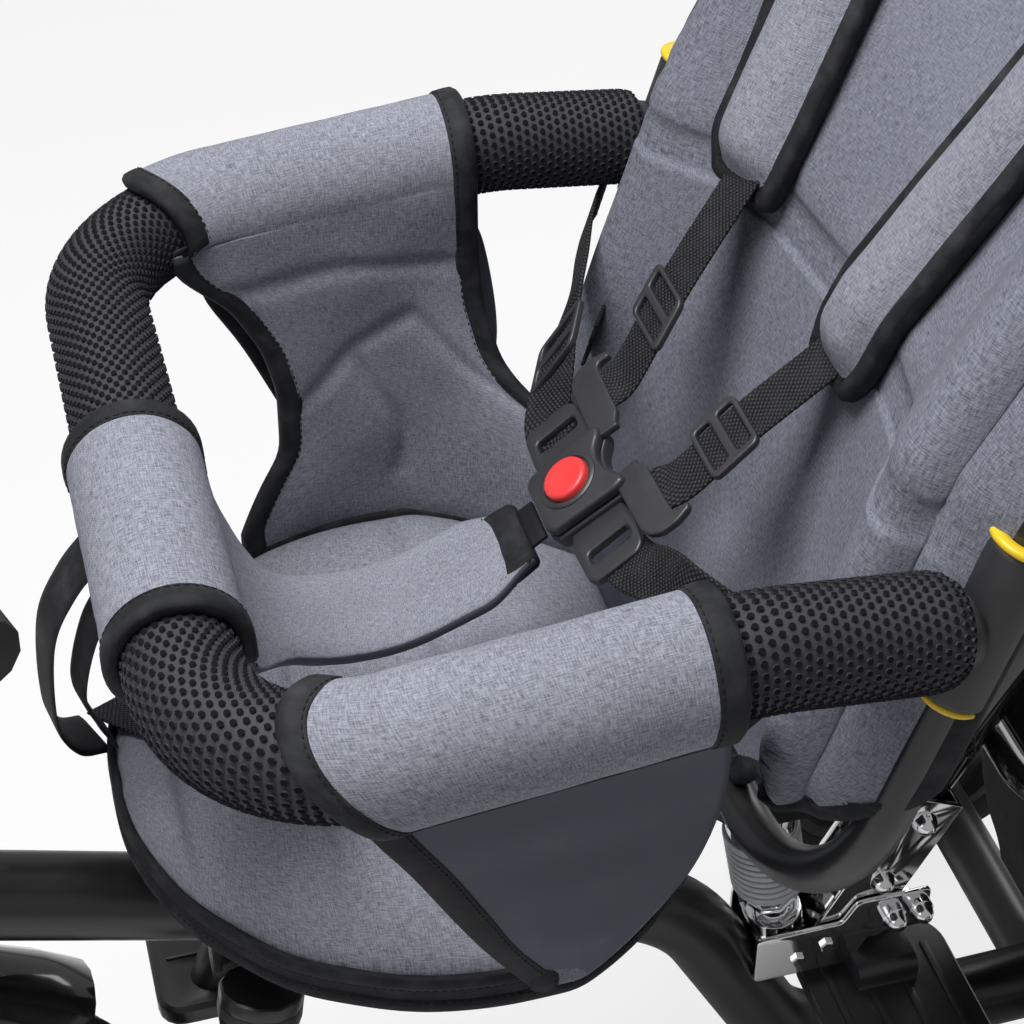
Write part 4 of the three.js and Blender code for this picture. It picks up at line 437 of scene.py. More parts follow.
def make_world():
    world = bpy.data.worlds.new("studio")
    bpy.context.scene.world = world
    world.use_nodes = True
    tree = world.node_tree
    rays, seen = seen_rays(tree)
    shown = math_node(tree, "MAXIMUM", seen, math_node(tree, "MULTIPLY", rays["Is Glossy Ray"], WORLD_IN_GLOSS))
    strength = ramp_of(tree, shown, 0.0, 1.0, WORLD_LIGHT, 1.0)
    back = tree.nodes["Background"]
    back.inputs["Color"].default_value = (1, 1, 1, 1)
    tree.links.new(strength, back.inputs["Strength"])


def lamp(name, place, target, size, power):
    data = bpy.data.lights.new(name, "AREA")
    data.shape, data.size, data.size_y, data.energy = "RECTANGLE", size[0], size[1], power
    light = new_object(name, data)
    light.location = place
    aim(light, Vector(target) - Vector(place))
    print("lamp", name, power, "W")


make_floor()
make_world()
SEAT_MIDDLE = (0, -0.05, 0.5)
lamp("overhead", (0.0, -0.5, 2.3), SEAT_MIDDLE, (1.2, 1.2), 50)
lamp("camera_left", (1.1, -1.9, 1.3), SEAT_MIDDLE, (1.0, 1.0), 5)
lamp("rim", (-1.2, 1.2, 1.7), SEAT_MIDDLE, (0.5, 1.6), 9)

# %% [markdown]
# ## Surfaces from grids
#
# Nearly every cloth piece here is a grid of points bent into place. `Piece` gathers such
# surfaces in millimetres, with UVs in metres and a finish for each face, and makes one
# mesh of them, so a panel, its lining and its rim are one object. The mesh sits at the
# origin, rides on its body and hides the CAD nodes that it replaces.

# %% Pieces
WELD = 0.02 * MM


class Piece:
    def __init__(self, name):
        self.name, self.places, self.faces, self.uvs, self.which, self.finishes = name, [], [], [], [], []
        self.count = 0

    def add(self, places, faces, uvs, finish):
        if finish not in self.finishes:
            self.finishes.append(finish)
        self.places.append(np.asarray(places, float).reshape(-1, 3))
        self.faces += [tuple(int(k) + self.count for k in face) for face in faces]
        self.uvs += uvs
        self.which += [self.finishes.index(finish)] * len(faces)
        self.count += len(self.places[-1])

    def grid(self, points, finish, u=None, v=None, wrap=False, turn=False):
        """A grid of points (rows, columns, 3). wrap joins its last column to its first."""
        rows, columns = points.shape[:2]
        u = spans(points, 1, wrap) if u is None else u
        v = spans(points, 0) if v is None else v
        faces, uvs = [], []
        for j in range(rows - 1):
            for i in range(columns if wrap else columns - 1):
                k = (i + 1) % columns
                face = [j * columns + i, j * columns + k, (j + 1) * columns + k, (j + 1) * columns + i]
                uv = [(u[i], v[j]), (u[i + 1], v[j]), (u[i + 1], v[j + 1]), (u[i], v[j + 1])]
                faces.append(face[::-1] if turn else face)
                uvs.append(uv[::-1] if turn else uv)
        self.add(points, faces, uvs, finish)

    def cap(self, ring, finish, turn=False):
        face = list(range(len(ring)))[::-1 if turn else 1]
        uv = [(float(ring[k][0]) * MM, float(ring[k][1]) * MM) for k in face]
        self.add(ring, [face], [uv], finish)

    def mesh(self, other, finish, matrix):
        """Adds a Blender mesh that is in millimetres, moved by matrix."""
        places = moved(np.array([v.co for v in other.vertices], float).reshape(-1, 3), matrix)
        faces = [tuple(p.vertices) for p in other.polygons]
        uvs = [[tuple(places[k][:2] * MM) for k in face] for face in faces]
        self.add(places, faces, uvs, finish)

    def make(self, body, slot, replaced=(), angle=None):
        mesh = bpy.data.meshes.new(self.name)
        mesh.from_pydata(metres(np.concatenate(self.places)).tolist(), [], self.faces)
        layer = mesh.uv_layers.new(name=CLOTH_UV)
        layer.data.foreach_set("uv", [c for face in self.uvs for corner in face for c in corner])
        for finish in self.finishes:
            mesh.materials.append(FINISH[finish])
        mesh.polygons.foreach_set("material_index", self.which)
        mesh.polygons.foreach_set("use_smooth", [True] * len(self.faces))
        bm = bmesh.new()
        bm.from_mesh(mesh)
        bmesh.ops.remove_doubles(bm, verts=bm.verts, dist=WELD)
        bmesh.ops.dissolve_degenerate(bm, edges=bm.edges, dist=WELD / 2)
        bm.to_mesh(mesh)
        bm.free()
        if angle is not None:
            mesh.set_sharp_from_angle(angle=math.radians(angle))
        made = new_object(self.name, mesh)
        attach(made, body)
        if replaced:
            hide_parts(*replaced)
        print(self.name, len(mesh.polygons), "faces")
        return made


def moved(places, matrix):
    m = np.array(matrix, float)
    return places @ m[:3, :3].T + m[:3, 3]


# %% [markdown]
# ### Sheets
#
# A sheet of cloth is a grid of points for its middle layer. `skins` moves that grid out to
# both sides, which gives the two faces, and closes the rim between them. `shell` does so
# with an even or varied thickness.

# %% Sheets
def spans(points, axis, wrap=False):
    """Mean distance along a grid's rows or columns, in metres, for its UVs."""
    if wrap:
        points = np.concatenate([points, np.take(points, [0], axis)], axis)
    steps = np.linalg.norm(np.diff(points, axis=axis), axis=2).mean(1 - axis)
    return np.concatenate([[0], np.cumsum(steps)]) * MM


def normals(points):
    du = np.gradient(points, axis=1)
    dv = np.gradient(points, axis=0)
    return unit(np.cross(du, dv))


def skins(piece, middle, offset, front, back):
    """The two faces of a sheet, moved out from its middle layer by offset, and its rim."""
    high, low = middle + offset, middle - offset
    u, v = spans(middle, 1), spans(middle, 0)
    piece.grid(high, front, u, v)
    piece.grid(low, back, u, v, turn=True)
    edges = [(high[0], low[0], True), (high[-1], low[-1], False), (high[:, 0], low[:, 0], False),
             (high[:, -1], low[:, -1], True)]
    for a, b, turn in edges:
        piece.grid(np.stack([a, b]), back, turn=turn)


def shell(piece, middle, thickness, front, back):
    """A closed sheet round a grid of middle points. Its front faces along du x dv."""
    half = np.broadcast_to(np.asarray(thickness, float), middle.shape[:2])[..., None] / 2
    skins(piece, middle, normals(middle) * half, front, back)


def mesh_grid(nu, nv):
    return np.meshgrid(np.linspace(0, 1, nu + 1), np.linspace(0, 1, nv + 1))


# %% [markdown]
# ### Paths
#
# Tubes, tape and straps follow paths. `bent` rounds the corners of a bent tube, `catmull`
# draws a soft line through a few places, as webbing hangs, and `sweep` draws a
# cross-section along either.

# %% Paths
def softened(values, passes):
    """Evens out a row of values, with its ends held."""
    for _ in range(passes):
        values[1:-1] = (values[:-2] + 2 * values[1:-1] + values[2:]) / 4
    return values


def reach_of(path):
    """How far along a path each of its points lies."""
    return np.concatenate([[0], np.cumsum(np.linalg.norm(np.diff(path, axis=0), axis=1))])


def at_reach(at, reach, points):
    return np.stack([np.interp(at, reach, points[:, k]) for k in range(3)], 1)


def bent(corners, radii, step):
    """A path of straight runs with round bends, as points every few degrees."""
    corners = [np.asarray(c, float) for c in corners]
    places = []
    for i, corner in enumerate(corners):
        r = radii[i]
        if i in (0, len(corners) - 1) or r == 0:
            places.append(corner)
            continue
        into, out = unit(corner - corners[i - 1]), unit(corners[i + 1] - corner)
        angle = math.acos(np.clip(into @ out, -1, 1))
        centre = corner + unit(out - into) * r / math.cos(angle / 2)
        start = corner - into * r * math.tan(angle / 2)
        axis = Vector(np.cross(into, out)).normalized()
        count = max(int(math.degrees(angle) / step), 2)
        for k in range(count + 1):
            turned = Matrix.Rotation(angle * k / count, 3, axis) @ Vector(start - centre)
            places.append(centre + np.array(turned))
    return np.array(places)


def resampled(points, spacing=None, count=None):
    points = np.asarray(points, float)
    reach = reach_of(points)
    count = count or max(int(round(reach[-1] / spacing)), 2) + 1
    return at_reach(np.linspace(0, reach[-1], count), reach, points)


def catmull(points, count):
    """A smooth path through a few points."""
    p = [np.asarray(q, float) for q in points]
    p = [2 * p[0] - p[1], *p, 2 * p[-1] - p[-2]]
    out = []
    for k in range(1, len(p) - 2):
        for t in np.linspace(0, 1, count, endpoint=False):
            out.append(0.5 * (2 * p[k] + (p[k + 1] - p[k - 1]) * t
                              + (2 * p[k - 1] - 5 * p[k] + 4 * p[k + 1] - p[k + 2]) * t**2
                              + (3 * p[k] - p[k - 1] - 3 * p[k + 1] + p[k + 2]) * t**3))
    out.append(p[-2])
    return np.array(out)


def path_frames(points, up, closed=False):
    if closed:
        along = unit(np.roll(points, -1, 0) - np.roll(points, 1, 0))
    else:
        along = unit(np.gradient(points, axis=0))
    up = np.broadcast_to(np.asarray(up, float), points.shape)
    side = unit(np.cross(along, up))
    return along, side, np.cross(side, along)


def with_mirror(half):
    """A closed path from its half on the side of positive x, which starts and ends at x = 0."""
    return np.concatenate([half, (half * vec(-1, 1, 1))[::-1][1:-1]])


def turns(sides):
    return np.linspace(0, 2 * math.pi, sides, endpoint=False)


def sweep(piece, points, r, sides, finish, up=(0, 0, 1), closed=False, size=1.0):
    """Draws a round section along a path. size scales it, at each point or everywhere."""
    _, side, top = path_frames(points, up, closed)
    radius = r * np.broadcast_to(size, len(points))[:, None, None]
    a = turns(sides)[None, :, None]
    rings = points[:, None] + radius * (side[:, None] * np.cos(a) + top[:, None] * np.sin(a))
    if closed:
        rings = np.concatenate([rings, rings[:1]])
    piece.grid(rings, finish, wrap=True, turn=True)
    if not closed:
        piece.cap(rings[0], finish)
        piece.cap(rings[-1], finish, turn=True)


# %% [markdown]
# ### Plates and turned parts
#
# Moulded and pressed parts are plates with rounded edges: a flat curve with an extrusion
# and a bevel gives them, holes and all. Round parts are turned from a half profile, as on
# a lathe.

# %% Plates and turned parts
def place_at(origin, x, y, z=None):
    """A matrix in millimetres with its axes along x and y."""
    x, y = unit(x), unit(y)
    z = unit(np.cross(x, y)) if z is None else unit(z)
    m = Matrix.Identity(4)
    for column, axis in enumerate((x, y, z, origin)):
        for row in range(3):
            m[row][column] = float(axis[row])
    return m


def flat_part(loops, thickness, edge, rounds=3):
    """A plate with rounded edges from one outline and its holes, in millimetres."""
    data = bpy.data.curves.new("plate", "CURVE")
    data.dimensions, data.fill_mode = "2D", "BOTH"
    data.extrude, data.bevel_depth, data.bevel_resolution, data.offset = thickness / 2 - edge, edge, rounds, -edge
    for loop in loops:
        spline = data.splines.new("POLY")
        spline.points.add(len(loop) - 1)
        spline.points.foreach_set("co", [c for x, y in loop for c in (x, y, 0, 1)])
        spline.use_cyclic_u = True
    made = new_object("plate", data)
    mesh = bpy.data.meshes.new_from_object(made)
    bpy.data.objects.remove(made)
    bpy.data.curves.remove(data)
    return mesh


def rounded(x0, y0, x1, y1, r):
    """The outline of a rectangle with round corners."""
    loop = []
    for cx, cy, start in ((x1 - r, y0 + r, -90), (x1 - r, y1 - r, 0), (x0 + r, y1 - r, 90), (x0 + r, y0 + r, 180)):
        for a in np.radians(np.linspace(start, start + 90, 6)):
            loop.append((cx + r * math.cos(a), cy + r * math.sin(a)))
    return loop


def turned(piece, profile, finish, matrix, sides=40):
    """A surface turned round z from a list of (radius, height), closed where the radius is 0."""
    rings = np.array([[(r * math.cos(a), r * math.sin(a), h) for a in turns(sides)] for r, h in profile])
    piece.grid(moved(rings, matrix), finish, wrap=True)


# %% [markdown]
# ## Stitches, by Geometry Nodes
#
# Every bound edge is held by a row of stitches. A polyline marks where each row runs. The
# tree turns the polylines into curves, drops a point every few millimetres, lays one
# small thread on each along the row and gives them their finish, so the pitch and the
# thread can be changed in one place.

# %% Stitch tree
def geometry_tree(name, inputs):
    tree = bpy.data.node_groups.new(name, "GeometryNodeTree")
    tree.interface.new_socket(name="Geometry", in_out="INPUT", socket_type="NodeSocketGeometry")
    identifiers = {}
    for label, kind, value in inputs:
        socket = tree.interface.new_socket(name=label, in_out="INPUT", socket_type=kind)
        if value is not None:
            socket.default_value = value
        identifiers[label] = socket.identifier
    tree.interface.new_socket(name="Geometry", in_out="OUTPUT", socket_type="NodeSocketGeometry")
    given, result = tree.nodes.new("NodeGroupInput").outputs, tree.nodes.new("NodeGroupOutput").inputs
    return tree, given, result, identifiers


STITCH_PITCH, STITCH_LENGTH, STITCH_R = 3.6, 2.5, 0.42


def stitch_tree():
    tree, given, result, identifiers = geometry_tree("stitch rows", [
        ("Pitch", FLOAT, STITCH_PITCH * MM), ("Length", FLOAT, STITCH_LENGTH * MM), ("Radius", FLOAT, STITCH_R * MM),
        ("Finish", MATERIAL, None)])
    curve = add(tree, "GeometryNodeMeshToCurve", {"Mesh": given["Geometry"]}).outputs[0]
    spaced = add(tree, "GeometryNodeResampleCurve", {"Curve": curve, "Length": given["Pitch"]}, mode="LENGTH")
    tangent = add(tree, "GeometryNodeInputTangent").outputs[0]
    turn = add(tree, "FunctionNodeAlignRotationToVector", {"Vector": tangent}, axis="Z").outputs[0]
    thread = add(tree, "GeometryNodeMeshUVSphere", {"Segments": 6, "Rings": 5, "Radius": 1.0}).outputs["Mesh"]
    half = math_node(tree, "MULTIPLY", given["Length"], 0.5)
    size = add(tree, "ShaderNodeCombineXYZ", {"X": given["Radius"], "Y": given["Radius"], "Z": half}).outputs[0]
    laid = add(tree, "GeometryNodeInstanceOnPoints",
               {"Points": spaced.outputs[0], "Instance": thread, "Rotation": turn, "Scale": size})
    real = add(tree, "GeometryNodeRealizeInstances", {"Geometry": laid.outputs[0]}).outputs[0]
    shaded = add(tree, "GeometryNodeSetShadeSmooth", {"Geometry": real}).outputs[0]
    done = add(tree, "GeometryNodeSetMaterial", {"Geometry": shaded, "Material": given["Finish"]})
    tree.links.new(done.outputs[0], result["Geometry"])
    return tree, identifiers


STITCHES, STITCH_INPUTS = stitch_tree()


def run_tree(name, places, edges, faces, tree, identifiers, values, body):
    """A mesh of plain points, lines or faces with a tree run over it, as a finished piece."""
    mesh = bpy.data.meshes.new(name)
    mesh.from_pydata([tuple(p) for p in places], edges, faces)
    made = new_object(name, mesh)
    modifier = made.modifiers.new(name, "NODES")
    modifier.node_group = tree
    for label, value in values.items():
        modifier[identifiers[label]] = value
    bpy.context.view_layer.update()
    baked = bpy.data.meshes.new_from_object(made.evaluated_get(bpy.context.evaluated_depsgraph_get()))
    made.modifiers.remove(modifier)
    made.data = baked
    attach(made, body)
    print(name, len(made.data.polygons), "faces")
    return made


def sew(name, rows, body):
    places, edges = [], []
    for row in rows:
        start = len(places)
        places += [tuple(p) for p in metres(row)]
        edges += [(start + k, start + k + 1) for k in range(len(row) - 1)]
    values = {"Pitch": STITCH_PITCH * MM, "Length": STITCH_LENGTH * MM, "Radius": STITCH_R * MM,
              "Finish": FINISH["thread"]}
    return run_tree(name, places, edges, [], STITCHES, STITCH_INPUTS, values, body)


# %% [markdown]
# ## Binding tape
#
# The raw edge of every panel is wrapped in black tape, folded round it and sewn through.
# It is drawn as one soft section swept along the edge: puffed in the middle of each side,
# pinched where the stitches pull it down, and a little wider than the cloth is thick.

# %% Binding helper
TAPE_WIDTH, TAPE_LIFT = 10.5, 1.3
STITCH_SHARE, STITCH_SUNK = 0.84, 0.62


def tape_section(thickness, width):
    """(inward, normal) places of the folded tape, round an edge at (0, 0)."""
    t = thickness / 2
    fold = [(-1.6, (t + TAPE_LIFT) * 0.35), (-1.1, t * 0.55 + TAPE_LIFT * 0.75), (0.8, t + TAPE_LIFT)]
    side = [(0.4, 1.08), (0.72, 0.92), (STITCH_SHARE, 0.45), (0.93, 0.5), (1, 0.1)]
    top = fold + [(width * across, t + TAPE_LIFT * lift) for across, lift in side]
    return np.array(top + [(x, -y) for x, y in top[::-1]])


def bind(piece, edge, inward, normal, thickness, rows, closed=False, width=TAPE_WIDTH):
    section = tape_section(thickness, width)
    rings = edge[:, None] + inward[:, None] * section[None, :, :1] + normal[:, None] * section[None, :, 1:]
    if closed:
        rings = np.concatenate([rings, rings[:1]])
    piece.grid(rings, "tape", wrap=True)
    if not closed:
        piece.cap(rings[0], "tape", turn=True)
        piece.cap(rings[-1], "tape")
    sunk = thickness / 2 + TAPE_LIFT * STITCH_SUNK
    for side in (1, -1):
        row = edge + inward * width * STITCH_SHARE + normal * side * sunk
        rows.append(np.concatenate([row, row[:1]]) if closed else row)


def borders(middle, which, spacing=4.0):
    """The edge of a grid as evenly spaced places, with the ways into the sheet and out of its face."""
    way = normals(middle)
    sets = {
        "v0": (middle[0], middle[1] - middle[0], way[0]),
        "v1": (middle[-1][::-1], (middle[-2] - middle[-1])[::-1], way[-1][::-1]),
        "u0": (middle[::-1, 0], (middle[:, 1] - middle[:, 0])[::-1], way[::-1, 0]),
        "u1": (middle[:, -1], middle[:, -2] - middle[:, -1], way[:, -1]),
    }
    if which == "loop":
        order = ["v0", "u1", "v1", "u0"]
        parts = [[a[:-1] for a in sets[k]] for k in order]
        edge, inward, normal = (np.concatenate(column) for column in zip(*parts))
    else:
        edge, inward, normal = sets[which]
    reach = reach_of(edge)
    count = max(int(reach[-1] / spacing), 4) + 1
    if which == "loop":
        last = np.linalg.norm(edge[0] - edge[-1])
        edge, inward, normal = (np.concatenate([a, a[:1]]) for a in (edge, inward, normal))
        reach = np.append(reach, reach[-1] + last)
        at = np.linspace(0, reach[-1], count)[:-1]
    else:
        at = np.linspace(0, reach[-1], count)
    edge, inward, normal = (at_reach(at, reach, a) for a in (edge, unit(inward), normal))
    for _ in range(3 if which == "loop" else 0):
        inward = (np.roll(inward, 1, 0) + 2 * inward + np.roll(inward, -1, 0)) / 4
        edge = (np.roll(edge, 1, 0) + 4 * edge + np.roll(edge, -1, 0)) / 6
    normal = unit(normal)
    inward = unit(inward - normal * (inward * normal).sum(1, keepdims=True))
    return edge, inward, normal


# %% [markdown]
# ## The guard ring
#
# A steel ring runs from the two clamps round the child's front. Its middle line rises a
# little from the clamps and falls again to the front. A foam sleeve covers it, moulded
# with a honeycomb of small holes. The sleeve starts as a sheet of hexagons rolled round
# the line. A tree then insets each hexagon, pushes it in and gives the hole's floor a
# darker finish, which is painted shade.

# %% Guard ring foam
CLAMP_Z, RING_HALF, RING_LENGTH, RING_CORNER = 610, 187, 283, 66
RISE_ANGLE, FALL_ANGLE = 5.9, 6.2
RISE_AT, RISE, FALL = 86, tan(RISE_ANGLE), tan(FALL_ANGLE)
RING_TOP = CLAMP_Z + RISE_AT * RISE
RING_FRONT_Z = RING_TOP - (RING_LENGTH - RISE_AT) * FALL
RISE_BEND = RING_CORNER * 2
TUBE_R, FOAM_R = 9, 22


def ring_line(y):
    return np.where(y > -RISE_AT, CLAMP_Z - y * RISE, RING_TOP - (-y - RISE_AT) * FALL)


def ring_z(y):
    reach = RISE_BEND * tan((RISE_ANGLE + FALL_ANGLE) / 2)
    inside = np.maximum(reach - np.abs(y + RISE_AT), 0)
    return ring_line(y) - inside**2 / (2 * RISE_BEND)


def ring_path(start):
    x, y = RING_HALF, -RING_LENGTH
    corners = [vec(x, -start, ring_line(-start)), vec(x, -RISE_AT, RING_TOP), vec(x, y, RING_FRONT_Z),
               vec(-x, y, RING_FRONT_Z), vec(-x, -RISE_AT, RING_TOP), vec(-x, -start, ring_line(-start))]
    return bent(corners, [0, RISE_BEND, RING_CORNER, RING_CORNER, RISE_BEND, 0], 3)


HOLE_SHARE, HOLE_DEPTH, HOLES_AROUND, FOAM_DOME, FOAM_END_SHARE = 0.5, 1.3, 31, 13, 0.6


def perforation_tree():
    tree, given, result, identifiers = geometry_tree("honeycomb", [
        ("Hole", FLOAT, HOLE_SHARE), ("Depth", FLOAT, HOLE_DEPTH * MM), ("Finish", MATERIAL, None),
        ("Hole Shade Finish", MATERIAL, None)])
    base = add(tree, "GeometryNodeSetMaterial", {"Geometry": given["Geometry"], "Material": given["Finish"]})
    inset = add(tree, "GeometryNodeExtrudeMesh", {"Mesh": base.outputs[0], "Offset Scale": 0.0}, mode="FACES")
    shrunk = add(tree, "GeometryNodeScaleElements",
                 {"Geometry": inset.outputs["Mesh"], "Selection": inset.outputs["Top"], "Scale": given["Hole"]})
    down = math_node(tree, "MULTIPLY", given["Depth"], -1.0)
    pushed = add(tree, "GeometryNodeExtrudeMesh", {"Mesh": shrunk.outputs[0], "Selection": inset.outputs["Top"],
                                                  "Offset Scale": down}, mode="FACES")
    # The pushed-in floors of the holes take the darker finish: painted shade.
    dark = add(tree, "GeometryNodeSetMaterial", {"Geometry": pushed.outputs["Mesh"],
                                                 "Selection": pushed.outputs["Top"],
                                                 "Material": given["Hole Shade Finish"]})
    tree.links.new(dark.outputs[0], result["Geometry"])
    return tree, identifiers


def foam_swell(along, length):
    """The foam's radius along its length, as a share: domed at both ends."""
    near = np.clip(np.minimum(along, length - along) / FOAM_DOME, 0, 1)
    return lerp(FOAM_END_SHARE, 1, np.sqrt(1 - (1 - near) ** 2))


def honeycomb(path, radius, around):
    """Corners and faces of a sheet of hexagons rolled round a path."""
    reach = reach_of(path)
    pitch = 2 * math.pi * radius / around
    step = pitch * math.sqrt(3) / 2
    rows = int(reach[-1] / step) - 1
    _, side, top = path_frames(path, (0, 0, 1))
    points, index, faces = [], {}, []
    for row in range(rows):
        for k in range(around):
            face = []
            for corner in range(6):
                a = math.radians(60 * corner + 30)
                column = 2 * k + (row % 2) + 2 * math.cos(a) / math.sqrt(3)
                along = (row + 0.8) * step + pitch / math.sqrt(3) * math.sin(a)
                key = (int(round(column)) % (2 * around), round(along, 2))
                if key not in index:
                    index[key] = len(points)
                    points.append((key[0] * math.pi / around, along))
                face.append(index[key])
            faces.append(face)
    angle, along = np.array(points).T[..., None]
    centre, side, top = (at_reach(along[:, 0], reach, a) for a in (path, side, top))
    radius = radius * foam_swell(along, reach[-1])
    return centre + radius * (unit(side) * np.cos(angle) + unit(top) * np.sin(angle)), faces


def make_guard_foam():
    path = resampled(ring_path(5), 4)
    places, faces = honeycomb(path, FOAM_R, HOLES_AROUND)
    tree, identifiers = perforation_tree()
    values = {"Hole": HOLE_SHARE, "Depth": HOLE_DEPTH * MM, "Finish": FINISH["mesh"],
              "Hole Shade Finish": FINISH["mesh_hole_shade"]}
    made = run_tree("guard_foam", metres(places), [], faces, tree, identifiers, values, "seat")
    piece = Piece("guard_foam_core")
    reach = reach_of(path)
    sweep(piece, path, FOAM_R - HOLE_DEPTH - 0.5, 48, "mesh", size=foam_swell(reach, reach[-1]))
    core = piece.make("seat", "mesh_foam")
    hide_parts("guard_ring_foam")


make_guard_foam()

# %% [markdown]
# ## The side wings
#
# A padded cloth wraps the ring on each side, comes down on the child's side of it and
# narrows to a waist before it meets the seat: an hourglass, seen from the side. Its front
# and rear edges are soft curves through a few measured places, one pair for each side,
# because cloth never hangs the same way twice.

# %% The wrap round the ring
WRAP_CLOTH = 4
WRAP_R, FRONT_WRAP_R = FOAM_R + 2.4 + WRAP_CLOTH / 2, FOAM_R + 1.6 + WRAP_CLOTH / 2
WRAP_LOW, WRAP_HIGH, WRAP_SHARE = -78, 183, 0.5
WRAP_REAR, WRAP_FRONT, WRAP_TOP_FRONT, WRAP_OUTER_FRONT = -98, -246, -254, -222
WRAP_TOP = (90 - WRAP_LOW) / (WRAP_HIGH - WRAP_LOW)
PAD_HALF, PAD_REAR, PAD_FRONT, PAD_THICK, PAD_EDGE = 152, -57, -309, 28, 14
PAD_CORNER, PAD_TAPER, TAPER_FROM, TAPER_OVER = 148, 57, -140, 80


def ring_side(side, y):
    past = np.maximum(-(RING_LENGTH - RING_CORNER) - y, 0)
    beta = np.arcsin(np.minimum(past / RING_CORNER, 1))
    x = RING_HALF - RING_CORNER * (1 - np.cos(beta))
    return (np.stack([side * x, y, ring_z(y)], -1),
            np.stack([side * np.cos(beta), -np.sin(beta), 0 * beta], -1))


def wrap_point(centre, out, share, r=WRAP_R):
    a = np.radians(lerp(WRAP_LOW, WRAP_HIGH, share))[..., None]
    return centre + out * r * np.cos(a) + vec(0, 0, r) * np.sin(a)


def seat_half(y):
    """Half the cushion's width at a place along y: half round in front, drawn in to the rear."""
    front = np.clip(y - PAD_FRONT, 0, PAD_CORNER)
    round_front = PAD_CORNER - np.sqrt(PAD_CORNER**2 - (PAD_CORNER - front) ** 2)
    return PAD_HALF - round_front - PAD_TAPER * np.clip((y - TAPER_FROM) / TAPER_OVER, 0, 1.25) ** 1.35


def side_name(side):
    return "left" if side > 0 else "right"


print("wrap radius:", WRAP_R, "mm")


# %% The wing's shape
def edge_curve(points):
    """A soft curve through (height from the clamps, y) pairs given from the top down."""
    z, y = np.array(points[::-1], float).T
    fine = np.linspace(z[0], z[-1], 80)
    along = softened(np.interp(fine, z, y), 8)
    return lambda height: np.interp(height - CLAMP_Z, fine, along)


WING_FRONT = {
    1: edge_curve([(32, -246), (-4, -246), (-44, -219), (-70, -207), (-95, -199), (-131, -187), (-144, -179),
                   (-171, -164), (-182, -158)]),
    -1: edge_curve([(32, -246), (-4, -246), (-44, -219), (-70, -205), (-95, -199), (-131, -200), (-143, -210),
                    (-171, -225)]),
}
WING_REAR = {
    1: edge_curve([(32, -98), (-8, -98), (-42, -84), (-54, -66), (-66, -60), (-82, -61), (-96, -68), (-108, -76),
                   (-130, -80), (-171, -78)]),
    -1: edge_curve([(32, -98), (-60, -97), (-90, -91), (-104, -80), (-114, -66), (-130, -52), (-171, -46)]),
}


def below_wrap(v):
    """How far down a panel is from where it leaves the ring, from 0 to 1."""
    return np.clip((v - WRAP_SHARE) / (1 - WRAP_SHARE), 0, 1)


def wing_middle(side, u, v):
    share = np.minimum(v / WRAP_SHARE, 1)
    to_top = lerp(WRAP_OUTER_FRONT, WRAP_TOP_FRONT, smooth(share / WRAP_TOP))
    y = lerp(WRAP_REAR, lerp(to_top, WRAP_FRONT, smooth((share - WRAP_TOP) / (1 - WRAP_TOP))), u)
    at, out = ring_side(side, y)
    wrap = wrap_point(at, out, share)
    t = below_wrap(v)
    z = np.interp(t, [0, 0.88, 1], [CLAMP_Z - 2, 442, 419])
    begin = 1 - smooth(t / 0.25)
    rear = lerp(WING_REAR[side](z), WRAP_REAR, begin)
    y = lerp(rear, lerp(WING_FRONT[side](z), WRAP_FRONT, begin), u)
    at, out = ring_side(side, np.maximum(y, WRAP_FRONT))
    start = wrap_point(at, out, np.ones_like(u))
    x = lerp(np.abs(start[..., 0]), seat_half(y) + 4, smooth((t - 0.1) / 0.72))
    z = lerp(z, start[..., 2], 1 - smooth(t / 0.12))
    down = np.stack([side * x, y, z], -1)
    return np.where((v > WRAP_SHARE)[..., None], down, wrap)


# %% [markdown]
# ### Padding, seams and small waves
#
# A seam pulls the padding down along a line, so `pinch` tells how near each place of a
# grid is to it, and the thickness drops there. `ripple` adds a few long sine waves with
# a fixed seed, so that no cloth is dead flat. The wing is light melange where it wraps the
# ring and faces the child. Its other face is the darker melange, the same cloth with
# painted shade, on the near side and dark lining on the far one. Tape binds its front,
# rear and outer edges.

# %% Side wings
def pinch(u, v, line, width, points):
    """How near each grid place is to a seam line given as (u, v) shares, from 0 to 1."""
    line = np.array(line)
    scale = np.array([spans(points, 1)[-1], spans(points, 0)[-1]]) / MM
    near = np.full(u.shape, 1e9)
    here = np.stack([u, v], -1) * scale
    for a, b in zip(line[:-1] * scale, line[1:] * scale):
        along = np.clip(((here - a) @ (b - a)) / ((b - a) @ (b - a)), 0, 1)[..., None]
        near = np.minimum(near, np.linalg.norm(here - (a + (b - a) * along), axis=-1))
    return np.exp(-((near / width) ** 2))


def dents(u, v, seams, width, points):
    return np.max([pinch(u, v, seam, width, points) for seam in seams], 0)


RIPPLES = 7


def ripple(points, amount, length, seed):
    """Small random waves for cloth, the same in each run."""
    rng = np.random.default_rng(seed)
    total = 0
    for _ in range(RIPPLES):
        way = unit(rng.normal(size=3)) * 2 * math.pi / (length * rng.uniform(0.6, 1.8))
        total = total + np.sin(points @ way + rng.uniform(0, 6.3))
    return amount * total / math.sqrt(RIPPLES)


PANEL_THICK, LINING_THICK = 4.6, 1.6
WING_SEAMS = [
    [(0.0, 0.60), (0.5, 0.575), (1, 0.60)],
    [(0.0, 0.82), (0.3, 0.66), (0.62, 0.70), (0.55, 0.90)],
    [(0.62, 0.70), (1.0, 0.79)],
]


